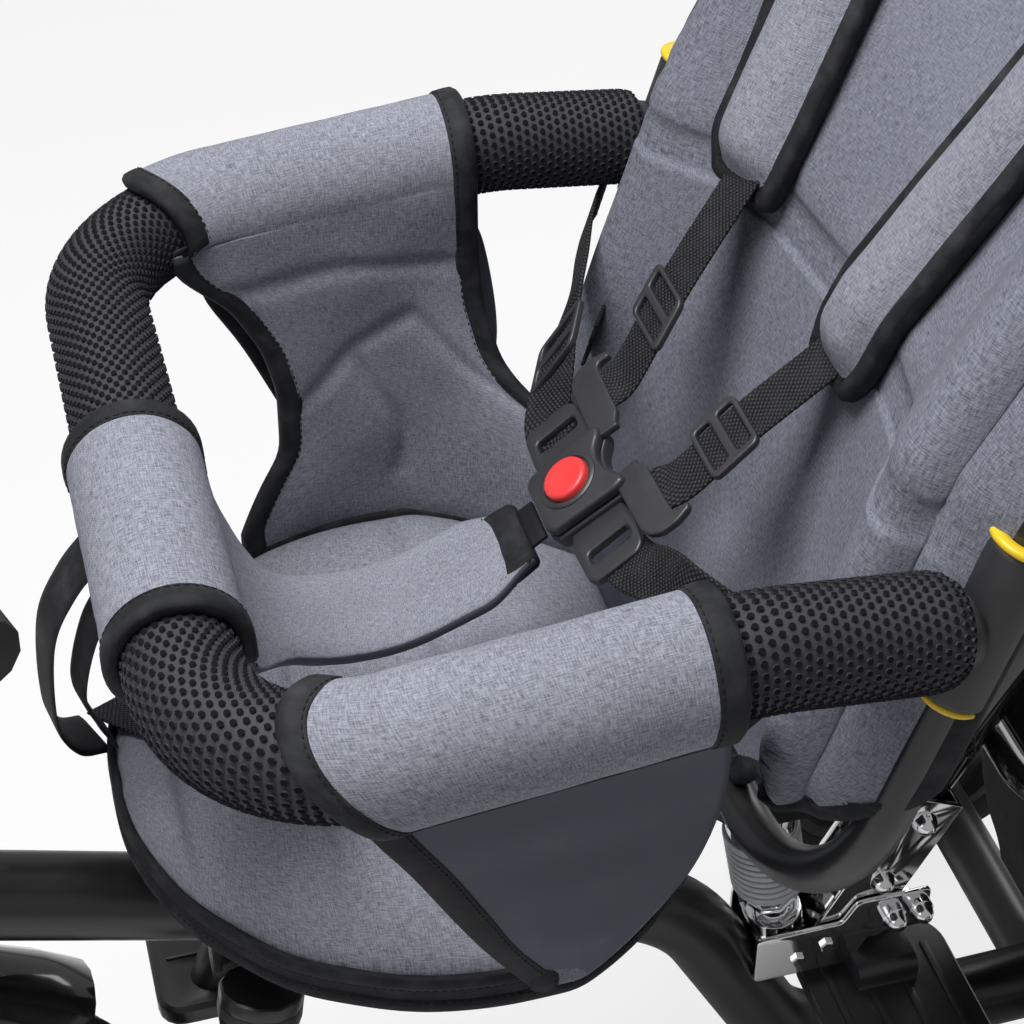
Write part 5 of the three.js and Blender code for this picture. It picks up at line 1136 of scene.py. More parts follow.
def make_wing(side):
    name = side_name(side)
    u, v = mesh_grid(48, 150)
    share = u[:, ::-1] if side > 0 else u
    middle = wing_middle(side, share, v)
    loose = smooth(below_wrap(v) / 0.15)
    dent = dents(share, v, WING_SEAMS, 4, middle)
    middle = middle + normals(middle) * (ripple(middle, 0.9, 70, 3 + side) * loose)[..., None]
    inside = smooth(np.minimum(u, 1 - u) / 0.16) * smooth((1 - v) / 0.06)
    thick = PANEL_THICK + 3.6 * loose * (1 - dent) * inside + ripple(middle, 0.25, 22, 7)
    piece, rows = Piece(f"wing_{name}"), []
    # On the near side the wing's outer face takes the darker melange: painted shade.
    shell(piece, middle, thick - 1.2 * dent * inside, "melange_light", "lining" if side < 0 else "melange")
    for which in ("u0", "u1", "v0"):
        bind(piece, *borders(middle, which), PANEL_THICK, rows)
    made = piece.make("seat", "melange_cloth", [f"side_panel_{name}"])
    sew(f"wing_stitches_{name}", rows, "seat")


print("seams on each wing:", len(WING_SEAMS))

# %% [markdown]
# ## The outer wings
#
# Below the ring, a wedge of thin dark polyester closes the outside from the wrap down to
# the seat's edge. Its two edges are given as places, a grid is stretched between them and
# puffed out a little, and the outer edge is bound with wider tape.

# %% Outer wings
OUTER_FRONT = [(-30, 189, -220), (-48, 182, -228), (-84, 178, -210), (-144, 166, -183), (-199, 154, -154)]
OUTER_REAR = [(-24, 189, -96), (-45, 180, -88), (-91, 168, -85), (-129, 165, -95), (-160, 163, -115),
              (-185, 158, -130), (-203, 152, -146)]
OUTER_TAPE, OUTER_PUFF = 13, 5


def make_outer_wing(side):
    """Its edges are (height from the clamps, x, y) places."""
    name = side_name(side)
    u, v = mesh_grid(40, 60)
    rear, front = (resampled(catmull(points, 8), count=61)[:, [1, 2, 0]] + vec(0, 0, CLAMP_Z)
                   for points in (OUTER_REAR, OUTER_FRONT))
    middle = lerp(rear[:, None], front[:, None], u[..., None])
    puff = np.sin(u * math.pi) * np.sin(np.clip(v * 1.1, 0, 1) * math.pi)
    middle[..., 0] += (OUTER_PUFF + ripple(middle, 1.5, 70, 17 + side)) * puff
    middle = middle * vec(side, 1, 1)
    middle = middle[:, ::-1] if side > 0 else middle
    piece, rows = Piece(f"wing_outer_{name}"), []
    shell(piece, middle, LINING_THICK, "lining", "lining")
    bind(piece, *borders(middle, "u0" if side > 0 else "u1"), LINING_THICK, rows, width=OUTER_TAPE)
    made = piece.make("seat", "melange_cloth")
    sew(f"wing_outer_stitches_{name}", rows, "seat")


for side in (1, -1):
    make_wing(side)
    make_outer_wing(side)

# %% [markdown]
# ## The front wrap and the crotch pad
#
# The same cloth wraps the front of the ring and runs down and back between the child's
# legs, where the buckle lies on it. It is a stuffed pad down there and a flat wrap on the
# ring. A Bezier curve from the ring to the buckle carries the pad, and tape binds the
# wrap's edges and the pad's end.

# %% Front panel
FRONT_X, FRONT_HALF, PAD_HALF_WIDTH, BUCKLE_Z = 48, 64, 28, 551
FRONT_SEAM, FRONT_ROWS, FRONT_RING_ROWS = [(0, 0.535), (1, 0.535)], 160, 84


def bezier(points, t):
    a, b, c, d = [np.asarray(p, float) for p in points]
    t = t[..., None]
    return (1 - t) ** 3 * a + 3 * (1 - t) ** 2 * t * b + 3 * (1 - t) * t * t * c + t**3 * d


def front_middle(u, v):
    centre = np.broadcast_to(vec(FRONT_X, -RING_LENGTH, RING_FRONT_Z), (*u.shape, 3))
    out = np.broadcast_to(vec(0, -1, 0), centre.shape)
    start = wrap_point(centre[0, 0], out[0, 0], np.array(1.0), FRONT_WRAP_R)
    curve = [start, vec(FRONT_X, start[1], 535), vec(0, -190, 486), vec(0, -118, BUCKLE_Z - 21)]
    wrap = wrap_point(centre, out, np.minimum(v / WRAP_SHARE, 1), FRONT_WRAP_R)
    t = below_wrap(v)
    middle = np.where((v > WRAP_SHARE)[..., None], bezier(curve, t), wrap)
    half = lerp(FRONT_HALF, PAD_HALF_WIDTH, smooth(t / 0.4)) * (1 - 0.35 * smooth((t - 0.88) / 0.12))
    middle[..., 0] += (2 * u - 1) * half
    return middle, t


def make_front_panel():
    u, v = mesh_grid(44, FRONT_ROWS)
    middle, t = front_middle(u, v)
    crown = (1 - np.abs(2 * u - 1) ** 4) * smooth((t - 0.15) / 0.3) * (1 - smooth((t - 0.9) / 0.1))
    dent = pinch(u, v, FRONT_SEAM, 5, middle)
    middle = middle + normals(middle) * ripple(middle, 0.7, 55, 12)[..., None] * smooth(t / 0.2)[..., None]
    thick = PANEL_THICK + 8.0 * crown + ripple(middle, 0.25, 20, 13) - 1.6 * dent
    piece, rows = Piece("front_wrap"), []
    shell(piece, middle, thick, "melange_light", "lining")
    on_ring = middle[:FRONT_RING_ROWS]
    for which, strip in (("u0", on_ring), ("u1", on_ring), ("v0", middle)):
        bind(piece, *borders(strip, which), PANEL_THICK, rows)
    bind(piece, *borders(middle, "v1", 3), 6.5, rows, width=17)
    seam, over = FRONT_SEAM[0][1] * FRONT_ROWS, normals(middle)
    row, part = int(seam), seam % 1
    rows.append(lerp(middle[row], middle[row + 1], part) + lerp(over[row], over[row + 1], part) * 2.1)
    made = piece.make("seat", "melange_cloth", ["front_panel"])
    sew("front_wrap_stitches", rows, "seat")


make_front_panel()

# %% [markdown]
# ## Cushions
#
# A cushion here is two skins sewn together at their edge, puffed up between. `pillow`
# takes the middle layer and the thickness over it, and rounds the edge like a stuffed
# seam: each place's thickness follows a quarter circle from the grid's edge inwards.

# %% Cushion helper
def edge_distance(middle):
    """How far each place of a grid lies from the grid's own edge."""
    edge = np.concatenate([middle[0], middle[-1], middle[:, 0], middle[:, -1]])
    return np.array([np.linalg.norm(row[:, None] - edge, axis=-1).min(1) for row in middle])


PILLOW_RIM = 0.105


def pillow(piece, middle, thick, front, way=None):
    way = normals(middle) if way is None else way
    inward = np.clip(edge_distance(middle) / np.maximum(thick / 2, 1), 0, 1)
    half = thick / 2 * lerp(PILLOW_RIM, 1, np.sqrt(1 - (1 - inward) ** 2))
    skins(piece, middle, way * half[..., None], front, "lining")


# %% [markdown]
# ## The seat
#
# A padded cushion lies on a moulded tray, half round in front and drawn in to the rear,
# with three seams across. Its grid follows that outline from side to side, and its
# padding is puffed up along the height alone, so the underside stays flat.

# %% Seat cushion
def seat_middle(u, v):
    y = lerp(PAD_REAR, PAD_FRONT, 1 - (1 - v) ** 1.5)
    return np.stack([(2 * u - 1) * seat_half(y), y, 0 * y], -1)


LAID = 0.3
SEAT_SEAMS = [[(0.02, 0.52), (0.25, 0.50), (0.75, 0.50), (0.98, 0.52)], [(0.05, 0.25), (0.95, 0.25)],
              [(0.05, 0.78), (0.95, 0.78)]]


def make_seat_cushion():
    u, v = mesh_grid(64, 70)
    u = u[:, ::-1]
    middle = seat_middle(u, v)
    crown = (1 - np.abs(2 * u - 1) ** 4) * (1 - np.abs(2 * v - 1) ** 5)
    dent = dents(u, v, SEAT_SEAMS, 6, middle[:, ::-1])
    thick = lerp(PAD_EDGE, PAD_THICK, crown) - 6 * dent * crown
    waves = ripple(middle, 0.9, 60, 21) * crown
    middle[..., 2] = SHELL_TOP + LAID + thick / 2 + waves
    piece = Piece("seat_cushion")
    pillow(piece, middle, thick + waves, "melange_light", vec(0, 0, 1))
    made = piece.make("seat", "melange_cloth", ["seat_pad"])


make_seat_cushion()

# %% [markdown]
# ## The seat's band and tray
#
# A narrow dark band is sewn round the cushion, from one rear corner round the front to
# the other. Under it shows the glossy lip of the tray. Both follow the cushion's outline,
# so one function gives that line: the band hangs just outside it, and the tray is a
# profile carried round it, drawn in to a flat floor.

# %% Seat band and tray
BAND_OUT, BAND_REAR, BAND_LOW, BAND_THICK = 1.6, -88, 409, 2.4


def seat_edge(out, rear, count):
    """The cushion's outline, moved out, from the right rear round the front to the left rear."""
    y = PAD_FRONT + (rear - PAD_FRONT) * np.linspace(1, 0, 80) ** 2
    half = np.column_stack([-seat_half(y), y, 0 * y])
    line = resampled(np.concatenate([half, half[::-1][1:] * vec(-1, 1, 1)]), count=count)
    return line + path_frames(line, (0, 0, 1))[1] * out


def make_seat_band():
    _, v = mesh_grid(160, 10)
    middle = np.broadcast_to(seat_edge(BAND_OUT, BAND_REAR, 161), (*v.shape, 3)).copy()
    middle[..., 2] = lerp(SHELL_TOP + PAD_EDGE - 1, BAND_LOW, v) + ripple(middle * vec(1, 1, 0), 0.8, 60, 31)
    piece, rows = Piece("seat_band"), []
    shell(piece, middle[:, ::-1], BAND_THICK + ripple(middle, 0.2, 16, 32), "tape", "lining")
    for which in ("v0", "v1"):
        bind(piece, *borders(middle[:, ::-1], which), BAND_THICK, rows, width=6)
    made = piece.make("seat", "melange_cloth", ["front_skirt"])
    sew("seat_band_stitches", rows[::2], "seat")


TRAY_MIDDLE = vec(0, -170, 0)
TRAY_PROFILE = [(-3, 26), (-1.6, 24.4), (-1.2, 22), (-2.4, 20), (-6, 18), (-12, 10), (-19, 4), (-30, 2), (-60, 0.5)]


def make_seat_shell():
    """Its profile is (out from the cushion's outline, height over the tray's floor)."""
    ring = seat_edge(0, PAD_REAR, 220)
    ring = np.concatenate([ring, resampled(np.array([ring[-1], ring[0]]), count=60)[1:-1]])
    out = path_frames(ring, (0, 0, 1), True)[1]
    rings = [ring + out * d + vec(0, 0, SHELL_LOW + h) for d, h in TRAY_PROFILE]
    rings = np.array(rings + [lerp(ring, TRAY_MIDDLE, 0.55) + vec(0, 0, SHELL_LOW)])
    piece = Piece("seat_tray")
    piece.grid(rings, "gloss_black", wrap=True, turn=True)
    piece.cap(rings[0], "gloss_black", turn=True)
    piece.cap(rings[-1], "gloss_black")
    piece.make("seat", "gloss_black", ["seat_shell"])


make_seat_band()
make_seat_shell()

# %% [markdown]
# ## The backrest
#
# The back cushion hangs over its steel frame, which leans further back above a bend. Seen
# from above, its face is hollow in the middle, with a padded ridge and an upright crease
# near each side. One profile across holds all that, and it is eased towards the top and
# the bottom. A seam runs across, and tape binds the edge all round.

# %% Back cushion
LEAN_ANGLE, RECLINE_ANGLE = 17, 29
LEAN, RECLINE, RECLINE_Z, BACK_Y = tan(LEAN_ANGLE), tan(RECLINE_ANGLE), 662, 7
BACK_TUBE_LOW, BACK_TUBE_TOP, BACK_TUBE_R = 438, 905, 10
BACK_HALF, BACK_THICK, BACK_TOP, BACK_TAPE = 196, 24, 889, 9
BACK_LOW = BACK_TUBE_LOW + BACK_TUBE_R + LAID + BACK_THICK * 0.4 * math.sin(math.radians(LEAN_ANGLE)) / 2
BACK_SEAM, BACK_REST = 0.43, -8
BACK_FACE = [(0, 3), (60, 0), (110, -13), (136, -34), (146, -38), (152, -27), (158, -22), (168, -23), (180, -16),
             (190, -8), (196, 6)]


def back_plane(z):
    return BACK_Y + (z - CLAMP_Z) * LEAN + np.maximum(z - RECLINE_Z, 0) * (RECLINE - LEAN)


def back_offset(x, z):
    """How far the cushion's face lies behind the frame's plane."""
    at = np.linspace(0, BACK_HALF, 99)
    profile = softened(np.interp(at, *np.array(BACK_FACE).T), 3)
    share = (z - BACK_LOW) / (BACK_TOP - BACK_LOW)
    full = smooth(share / 0.16) * (1 - smooth((share - 0.84) / 0.16))
    return lerp(BACK_REST, np.interp(np.abs(x), at, profile), full)


def back_face(x, z):
    return back_plane(z) + back_offset(x, z)


def make_back_cushion():
    u, v = mesh_grid(170, 120)
    s = 2 * u - 1
    z = lerp(BACK_LOW, BACK_TOP, v)
    corner = 1 - 0.5 * (1 - smooth(v / 0.22)) ** 1.6 - 0.2 * smooth((v - 0.86) / 0.14) ** 2
    flat = s * BACK_HALF * corner
    crown = (1 - np.abs(s) ** 8) * (1 - np.abs(2 * v - 1) ** 6)
    cross = np.exp(-(((v - BACK_SEAM) / 0.009) ** 2))
    thick = lerp(BACK_THICK * 0.3, BACK_THICK, crown) - 9 * cross * crown
    lean = np.cos(np.radians(np.where(z < RECLINE_Z, LEAN_ANGLE, RECLINE_ANGLE)))
    middle = np.stack([flat, back_face(flat, z) + thick / 2 / lean, z], -1)
    waves = ripple(middle, 0.9, 55, 41) * crown
    piece, rows = Piece("back_cushion"), []
    # The back cushion takes the darker melange: painted shade.
    pillow(piece, middle, thick + waves, "melange")
    bind(piece, *borders(middle, "loop", 3), BACK_TAPE, rows, closed=True, width=12)
    made = piece.make("seat", "melange_cloth", ["back_pad"])
    sew("back_stitches", rows, "seat")


make_back_cushion()

# %% [markdown]
# ## The rear apron
#
# Dark lining hangs from the backrest's lower edge behind the cushion and closes the gap
# to the seat. It is a plain flat sheet with a hem of tape.

# %% Rear apron
APRON_X, APRON_Y, APRON_Z = (-112, 66), (-44, -58), (468, 406)


def make_rear_apron():
    u, v = mesh_grid(40, 14)
    middle = np.stack([lerp(*APRON_X, u), lerp(*APRON_Y, smooth(v / 0.3)), lerp(*APRON_Z, v)], -1)
    middle = middle + vec(0, 1, 0) * ripple(middle, 0.6, 40, 47)[..., None]
    piece = Piece("rear_apron")
    shell(piece, middle, LINING_THICK, "lining", "lining")
    bind(piece, *borders(middle, "v1"), LINING_THICK, [], width=8)
    made = piece.make("seat", "melange_cloth")


make_rear_apron()

# %% [markdown]
# ## The buckle
#
# The harness meets at a moulded buckle with a red button. Its body is two plates with
# rounded edges, one on the other, and a turned collar holds the button. A frame at each
# side takes a waist strap, and a hook above it a shoulder strap. The outlines were
# measured on the buckle's own face, which leans back by 38 degrees, and then laid there.

# %% Buckle
BUCKLE = vec(0, -94, BUCKLE_Z)
BUCKLE_ANGLE = math.radians(38)
BUCKLE_UP = vec(0, math.cos(BUCKLE_ANGLE), math.sin(BUCKLE_ANGLE))
BUCKLE_OUT = vec(0, -math.sin(BUCKLE_ANGLE), math.cos(BUCKLE_ANGLE))
BUCKLE_TOP = 7.5
WAIST_SLOT, LOWER_SCALE = (36, -9, 44, 13, 2.5), 1.045
COLLAR = [(12, -4), (12, 0.6), (12.5, 1.1), (13.6, 1.1), (14.5, 0.5), (14.8, -0.6)]
BUTTON = [(0, 2.6), (4, 2.8), (8, 3.3), (9.6, 3.4), (10.6, 2.8), (11, 1.8), (11, -4)]
BUCKLE_BODY = [(-19, -15), (-15, -19), (16, -19), (20, -16), (22.5, 18), (21, 23), (15, 22), (8, 17.5), (0, 16),
               (-7, 17.5), (-13, 22), (-18, 23), (-20, 19)]
WAIST_FRAME = [(17, -10), (28, -14.5), (50, -13.5), (53.5, -10), (54, 12), (50, 16), (32, 18.5), (17, 13)]
HOOK = [(14, 17), (20.5, 17.5), (50, 18.6), (56, 20.5), (60, 26), (60.5, 34), (58, 42), (54, 42.5), (54.5, 35.5),
        (50, 34.6), (21, 33.8), (16, 31), (12.5, 31)]


def on_buckle(x, up, out=0.0):
    return BUCKLE + vec(x, 0, 0) + BUCKLE_UP * up + BUCKLE_OUT * out


def mirrored(loop):
    return [(-x, y) for x, y in loop[::-1]]


def soft_loop(loop, amount):
    """Rounds the corners of an outline."""
    points = np.array(loop, float)
    out = []
    for before, here, after in zip(np.roll(points, 1, 0), points, np.roll(points, -1, 0)):
        a, b = before - here, after - here
        cut = min(amount, 0.4 * np.linalg.norm(a), 0.4 * np.linalg.norm(b))
        for t in np.linspace(0, 1, 4):
            out.append(tuple(lerp(lerp(here + unit(a) * cut, here, t), lerp(here, here + unit(b) * cut, t), t)))
    return out


def make_buckle():
    def at(out):
        return place_at(on_buckle(0, 0, out), (1, 0, 0), BUCKLE_UP)

    piece = Piece("buckle_shell")
    upper = soft_loop(BUCKLE_BODY, 3)
    piece.mesh(flat_part([upper], 6, 2.2, 4), "buckle", at(BUCKLE_TOP - 3.2))
    lower = [(x * LOWER_SCALE, y * LOWER_SCALE) for x, y in upper]
    piece.mesh(flat_part([lower], 8, 1.5), "buckle", at(-2.5))
    turned(piece, COLLAR, "buckle", at(BUCKLE_TOP - 0.2))
    for way in (list, mirrored):
        loops = [soft_loop(way(WAIST_FRAME), 3), way(rounded(*WAIST_SLOT))]
        piece.mesh(flat_part(loops, 4.5, 1.2), "buckle", at(-3.4))
        piece.mesh(flat_part([soft_loop(way(HOOK), 2)], 4, 1.2), "buckle", at(2.5))
    piece.make("seat", "black_plastic", ["buckle_body", "tongue_left", "tongue_right"], angle=40)
    button = Piece("buckle_push")
    turned(button, BUTTON, "red", at(BUCKLE_TOP), 56)
    button.make("button", "red_plastic", ["buckle_button"])


make_buckle()

# %% [markdown]
# ## The shoulder covers
#
# Each shoulder strap runs under a stuffed cover that lies on the backrest. The harness is
# not quite in the middle, so the two covers have places of their own. They follow the
# backrest's face, whose depth is known at every place, and are bound with narrow tape.

# %% Shoulder covers
COVER_AT = {1: (38, 621), -1: (-76, 642)}
COVER_LENGTH, COVER_WIDTH, COVER_THICK, COVER_SPREAD = 190, 52, 16, 0.19


def make_cover(side):
    name = side_name(side)
    u, v = mesh_grid(26, 90)
    start_x, low = COVER_AT[side]
    z = low + v * COVER_LENGTH
    crown = smooth((1 - np.abs(2 * u - 1)) / 0.8) * smooth(np.minimum(v, 1 - v) / 0.14)
    thick = lerp(COVER_THICK * 0.35, COVER_THICK, crown)
    half = COVER_WIDTH / 2 * (1 - 0.22 * (1 - smooth(v / 0.1)))
    x = start_x + side * v * COVER_LENGTH * COVER_SPREAD + (2 * u - 1) * half
    y = back_face(x, z) - (thick / 2 + 3.5) / math.cos(math.radians(RECLINE_ANGLE))
    middle = np.stack([x, y, z], -1)
    piece, rows = Piece(f"shoulder_cover_{name}"), []
    pillow(piece, middle, thick + ripple(middle, 0.3, 30, 51), "melange_light")
    bind(piece, *borders(middle, "loop", 3), 7.5, rows, closed=True, width=8.5)
    made = piece.make("seat", "melange_cloth", [f"shoulder_pad_{name}"])
    sew(f"shoulder_stitches_{name}", rows[:1], "seat")


print("shoulder cover:", COVER_LENGTH, "by", COVER_WIDTH, "mm")

# %% [markdown]
# ## The webbing
#
# The harness webbing is 25 mm wide and 2 mm thick, coarsely woven, with ribs across it and
# a thicker edge. `ribbon` lays a flat band along a path, and `webbing` gives it that
# section with every other row a little thinner. The paths are soft lines through measured
# places, and a slider with three bars sits on each strap that can be shortened.

# %% Webbing
WEB_WIDTH, WEB_THICK, WEB_RIB, WEB_RELIEF = 25, 2, 1.7, 0.16
WEB_ACROSS = [-1, -0.97, -0.9, -0.84, -0.6, -0.4, -0.2, 0, 0.2, 0.4, 0.6, 0.84, 0.9, 0.97, 1]
WEB_SECTION = [0.45, 0.85, 1.0, 0.8, 0.92, 0.8, 0.92, 0.8, 0.92, 0.8, 0.92, 0.8, 1.0, 0.85, 0.45]


def ribbon(piece, path, across, columns, half, finish, v=None):
    """A band along a path. columns are its places across, half its half thickness there."""
    along = unit(np.gradient(path, axis=0))
    across = unit(across - along * (across * along).sum(1, keepdims=True))
    lift = np.cross(across, along)[:, None] * half[..., None]
    flat = path[:, None] + across[:, None] * columns[None, :, None]
    loop = np.concatenate([flat + lift, (flat - lift)[:, ::-1]], 1)
    u = reach_of(np.concatenate([loop[0], loop[0, :1]])) * MM
    piece.grid(loop, finish, u, v, wrap=True)
    piece.cap(loop[0], finish, turn=True)
    piece.cap(loop[-1], finish)


def webbing(piece, path, across):
    """A woven strap along a path. across is one way, or one for each place."""
    reach = reach_of(path)
    count = max(int(reach[-1] / (WEB_RIB / 2)), 8) + 1
    at = np.linspace(0, reach[-1], count)
    across = at_reach(at, reach, np.broadcast_to(np.asarray(across, float), path.shape))
    ribs = 1 + WEB_RELIEF * np.where(np.arange(count) % 2, 1, -1)
    ribs[[0, -1]] *= 0.5
    half = WEB_THICK / 2 * np.outer(ribs, WEB_SECTION)
    columns = np.array(WEB_ACROSS) * WEB_WIDTH / 2
    ribbon(piece, at_reach(at, reach, path), across, columns, half, "webbing", at * MM)


GLIDE_WIDTH, GLIDE_HEIGHT = 34, 26


def glide(piece, place, across, up):
    """A three-bar slider for the webbing."""
    x, y = GLIDE_WIDTH / 2, GLIDE_HEIGHT / 2
    loops = [rounded(-x, -y, x, y, 4), rounded(-13, 2.2, 13, y - 2.6, 2), rounded(-13, 2.6 - y, 13, -2.2, 2)]
    piece.mesh(flat_part(loops, 3.5, 1.1), "buckle", place_at(place, across, up))


def ring_places(points):
    """Places with their heights counted from the clamps."""
    return [vec(*point) + vec(0, 0, CLAMP_Z) for point in points]


# %% Straps
WAIST_LINES = {
    1: [(60, -86, -56), (78, -82, -47), (100, -77, -40), (125, -58, -47), (150, -32, -66), (172, -10, -60),
        (190, 8, -52)],
    -1: [(-54, -92, -62), (-80, -79, -43), (-105, -66, -37), (-130, -54, -35), (-155, -44, -33), (-175, -34, -31),
         (-195, -22, -34)],
}


SECOND_WAIST = [(-112, -54, -66), (-150, -33, -68), (-172, -24, -64), (-192, -14, -62)]
HOOK_X, SIDEWAYS, WAIST_UP = 37, vec(1, 0, 0), vec(0, 0.3, 1)


def make_shoulder_strap(side):
    name, hook_x = side_name(side), HOOK_X * side
    start = on_buckle(hook_x, 33, 2.5)
    end_x, low = COVER_AT[side]
    end = vec(end_x, back_face(end_x, low) - COVER_THICK * 0.35, low + 12)
    path = catmull([on_buckle(hook_x, 26, -2.5), start, on_buckle(hook_x + 3 * side, 46, 2), lerp(start, end, 0.5),
                    end], 14)
    piece = Piece(f"shoulder_webbing_{name}")
    webbing(piece, path, SIDEWAYS)
    k = int(len(path) * 0.68)
    along = unit(path[k + 2] - path[k - 2])
    glide(piece, path[k] - unit(np.cross(along, SIDEWAYS)) * 1.8, SIDEWAYS, along)
    piece.make("seat", "webbing", [f"shoulder_strap_{name}"])


def make_waist_strap(side):
    name = side_name(side)
    path = catmull([on_buckle(40 * side, 3, -6.5)] + ring_places(WAIST_LINES[side]), 14)
    along = unit(np.gradient(path, axis=0))
    rise = lerp(BUCKLE_UP, unit(WAIST_UP), smooth(np.linspace(0, 1.6, len(path)))[:, None])
    piece = Piece(f"waist_webbing_{name}")
    webbing(piece, path, rise)
    if side < 0:
        webbing(piece, catmull(ring_places(SECOND_WAIST), 12), WAIST_UP)
        k = int(len(path) * 0.3)
        glide(piece, path[k] + np.cross(rise[k], along[k]) * 1.5, rise[k], along[k])
    piece.make("seat", "webbing", [f"waist_strap_{name}"])


for side in (1, -1):
    make_cover(side)
    make_shoulder_strap(side)
    make_waist_strap(side)

# %% [markdown]
# ## The front tape loops
#
# Two plain tape loops hang from the front wrap to the seat, to the child's right of the
# pad, and a short piece of webbing crosses them there. The loops are smooth bands with
# rounded edges, because their tape is finer than the webbing.

# %% Front tape loops
LOOP_THICK = 2.0
WIDE_LOOP = [(-4, -303, -46), (-6, -318, -66), (-6, -330, -92), (-10, -334, -140), (-20, -328, -168),
             (-36, -316, -186)]
NARROW_LOOP = [(12, -300, -58), (6, -312, -84), (0, -320, -120), (-12, -316, -150), (-22, -310, -174)]
WEB_PATCH = [(-46, -308, -177), (-22, -290, -172), (2, -268, -167)]


def tape_loop(name, points, across, width):
    piece = Piece(name)
    path = resampled(catmull(ring_places(points), 10), 3.0)
    share = np.linspace(-1, 1, 9)
    half = LOOP_THICK / 2 * np.sqrt(1 - np.abs(share) ** 6 * 0.9)
    ribbon(piece, path, np.broadcast_to(unit(across), path.shape), share * width / 2,
           np.broadcast_to(half, (len(path), len(share))), "tape")
    piece.make("seat", "webbing")


def make_front_loops():
    tape_loop("front_loop_wide", WIDE_LOOP, (1, 0.2, 0), 24)
    tape_loop("front_loop_narrow", NARROW_LOOP, (1, 0.25, 0), 18)
    piece = Piece("front_web_patch")
    webbing(piece, catmull(ring_places(WEB_PATCH), 8), (0.4, 0.9, 0.05))
    piece.make("seat", "webbing")


make_front_loops()

# %% [markdown]
# ## The basket
#
# The basket is a cloth bag that hangs in a glossy steel hoop behind the seat. The hoop's
# line serves both: the bag's wall is that loop drawn in, ring by ring, towards the floor,
# with a few long waves, and two rows of stitches hold its hem.

# %% Basket bag
PUSH_ANGLE = 26
PUSH_LEAN = tan(PUSH_ANGLE)
BASKET_Z, BASKET_RIM, BASKET_HALF, BASKET_REAR, BASKET_CORNER = 336, 9, 128, 336, 62


def push_y(z):
    return 115 + (z - 342) * PUSH_LEAN


PUSH_TUBE_R, BAG_DEPTH, BAG_TAPER = 14, 128, 24
BASKET_NOSE = push_y(BASKET_Z) + (PUSH_TUBE_R + LAID + BASKET_RIM) / math.cos(math.radians(PUSH_ANGLE))


def basket_loop(z=BASKET_Z, inset=0.0):
    x, shoulder = BASKET_HALF, BASKET_NOSE + BASKET_HALF * 0.7
    corners = [vec(0, BASKET_NOSE, z), vec(x * 0.3, BASKET_NOSE, z), vec(x, shoulder, z), vec(x, BASKET_REAR, z),
               vec(0, BASKET_REAR, z)]
    loop = with_mirror(bent(corners, [0, x * 0.3, BASKET_CORNER, BASKET_CORNER, 0], 4))
    loop = resampled(np.concatenate([loop, loop[:1]]), 5.0)[:-1]
    return loop - path_frames(loop, (0, 0, 1), True)[1] * inset


def make_basket():
    levels = np.linspace(0, 1, 26)

    def wall(inset):
        return np.array([basket_loop(BASKET_Z - 2 - BAG_DEPTH * t,
                                     BASKET_RIM + LAID + inset + BAG_TAPER * smooth(t * 0.9) * t) for t in levels])

    outer, inner = wall(0.4), wall(3.2)
    waves = ripple(outer, 1.1, 60, 61) * smooth(levels * 4)[:, None]
    centre = outer.mean((0, 1))
    way = unit((outer - centre) * vec(1, 1, 0))
    outer, inner = outer - way * np.abs(waves)[..., None], inner - way * np.abs(waves)[..., None]
    piece = Piece("basket_cloth")
    piece.grid(outer, "bag", wrap=True, turn=True)
    piece.grid(inner, "bag", wrap=True)
    for ring, turn, lift in ((outer[-1], True, 0), (inner[-1], False, 2.8)):
        middle = ring.mean(0)
        rings = np.array([lerp(ring, middle, k) for k in np.linspace(0, 0.98, 10)]) + vec(0, 0, lift)
        piece.grid(np.concatenate([ring[None], rings]), "bag", wrap=True, turn=turn)
        piece.cap(rings[-1], "bag", turn=not turn)
    piece.grid(np.stack([inner[0], outer[0]]), "bag", wrap=True, turn=True)
    made = piece.make("frame", "melange_cloth", ["basket_bag"])
    sew("basket_stitches", [np.concatenate([inner[t], inner[t][:1]]) for t in (1, 3)], "frame")


make_basket()

# %% [markdown]
# ## The bent tubes
#
# The steel loops of the backrest, the basket and the guard ring are bent from one tube
# each. The same rounded paths as in the measures are swept again with finer rings, so
# that the long highlights run smoothly.

# %% Loops of tube
BACK_BENDS = [0, 84, 120, 66, 0]


def make_tubes():
    corners = [(0, BACK_TUBE_LOW), (RING_HALF, BACK_TUBE_LOW), (RING_HALF, RECLINE_Z), (RING_HALF, BACK_TUBE_TOP),
               (0, BACK_TUBE_TOP)]
    right = bent([vec(x, back_plane(z), z) for x, z in corners], BACK_BENDS, 4)
    piece = Piece("back_loop")
    sweep(piece, with_mirror(right), BACK_TUBE_R, 28, "satin_black", up=(0, -1, 0.35), closed=True)
    piece.make("seat", "satin_black_steel", ["back_frame"])
    piece = Piece("basket_hoop")
    sweep(piece, basket_loop(), BASKET_RIM, 28, "gloss_black", closed=True)
    piece.make("frame", "gloss_black", ["basket_rim"])
    piece = Piece("ring_tube")
    sweep(piece, ring_path(4), TUBE_R, 24, "satin_black")
    piece.make("seat", "satin_black_steel", ["guard_ring_tube"])


make_tubes()

# %% [markdown]
# ## The main tube
#
# One thick tube carries everything, from the head down under the seat to the rear axle.
# Two plate ears stand on it and hold the seat's hinge, on a block that is welded on.

# %% Main tube
MAIN_TUBE_R, EAR_R, EAR_X, HINGE_Y, HINGE_Z = 21, 13, 27.5, -214, 339


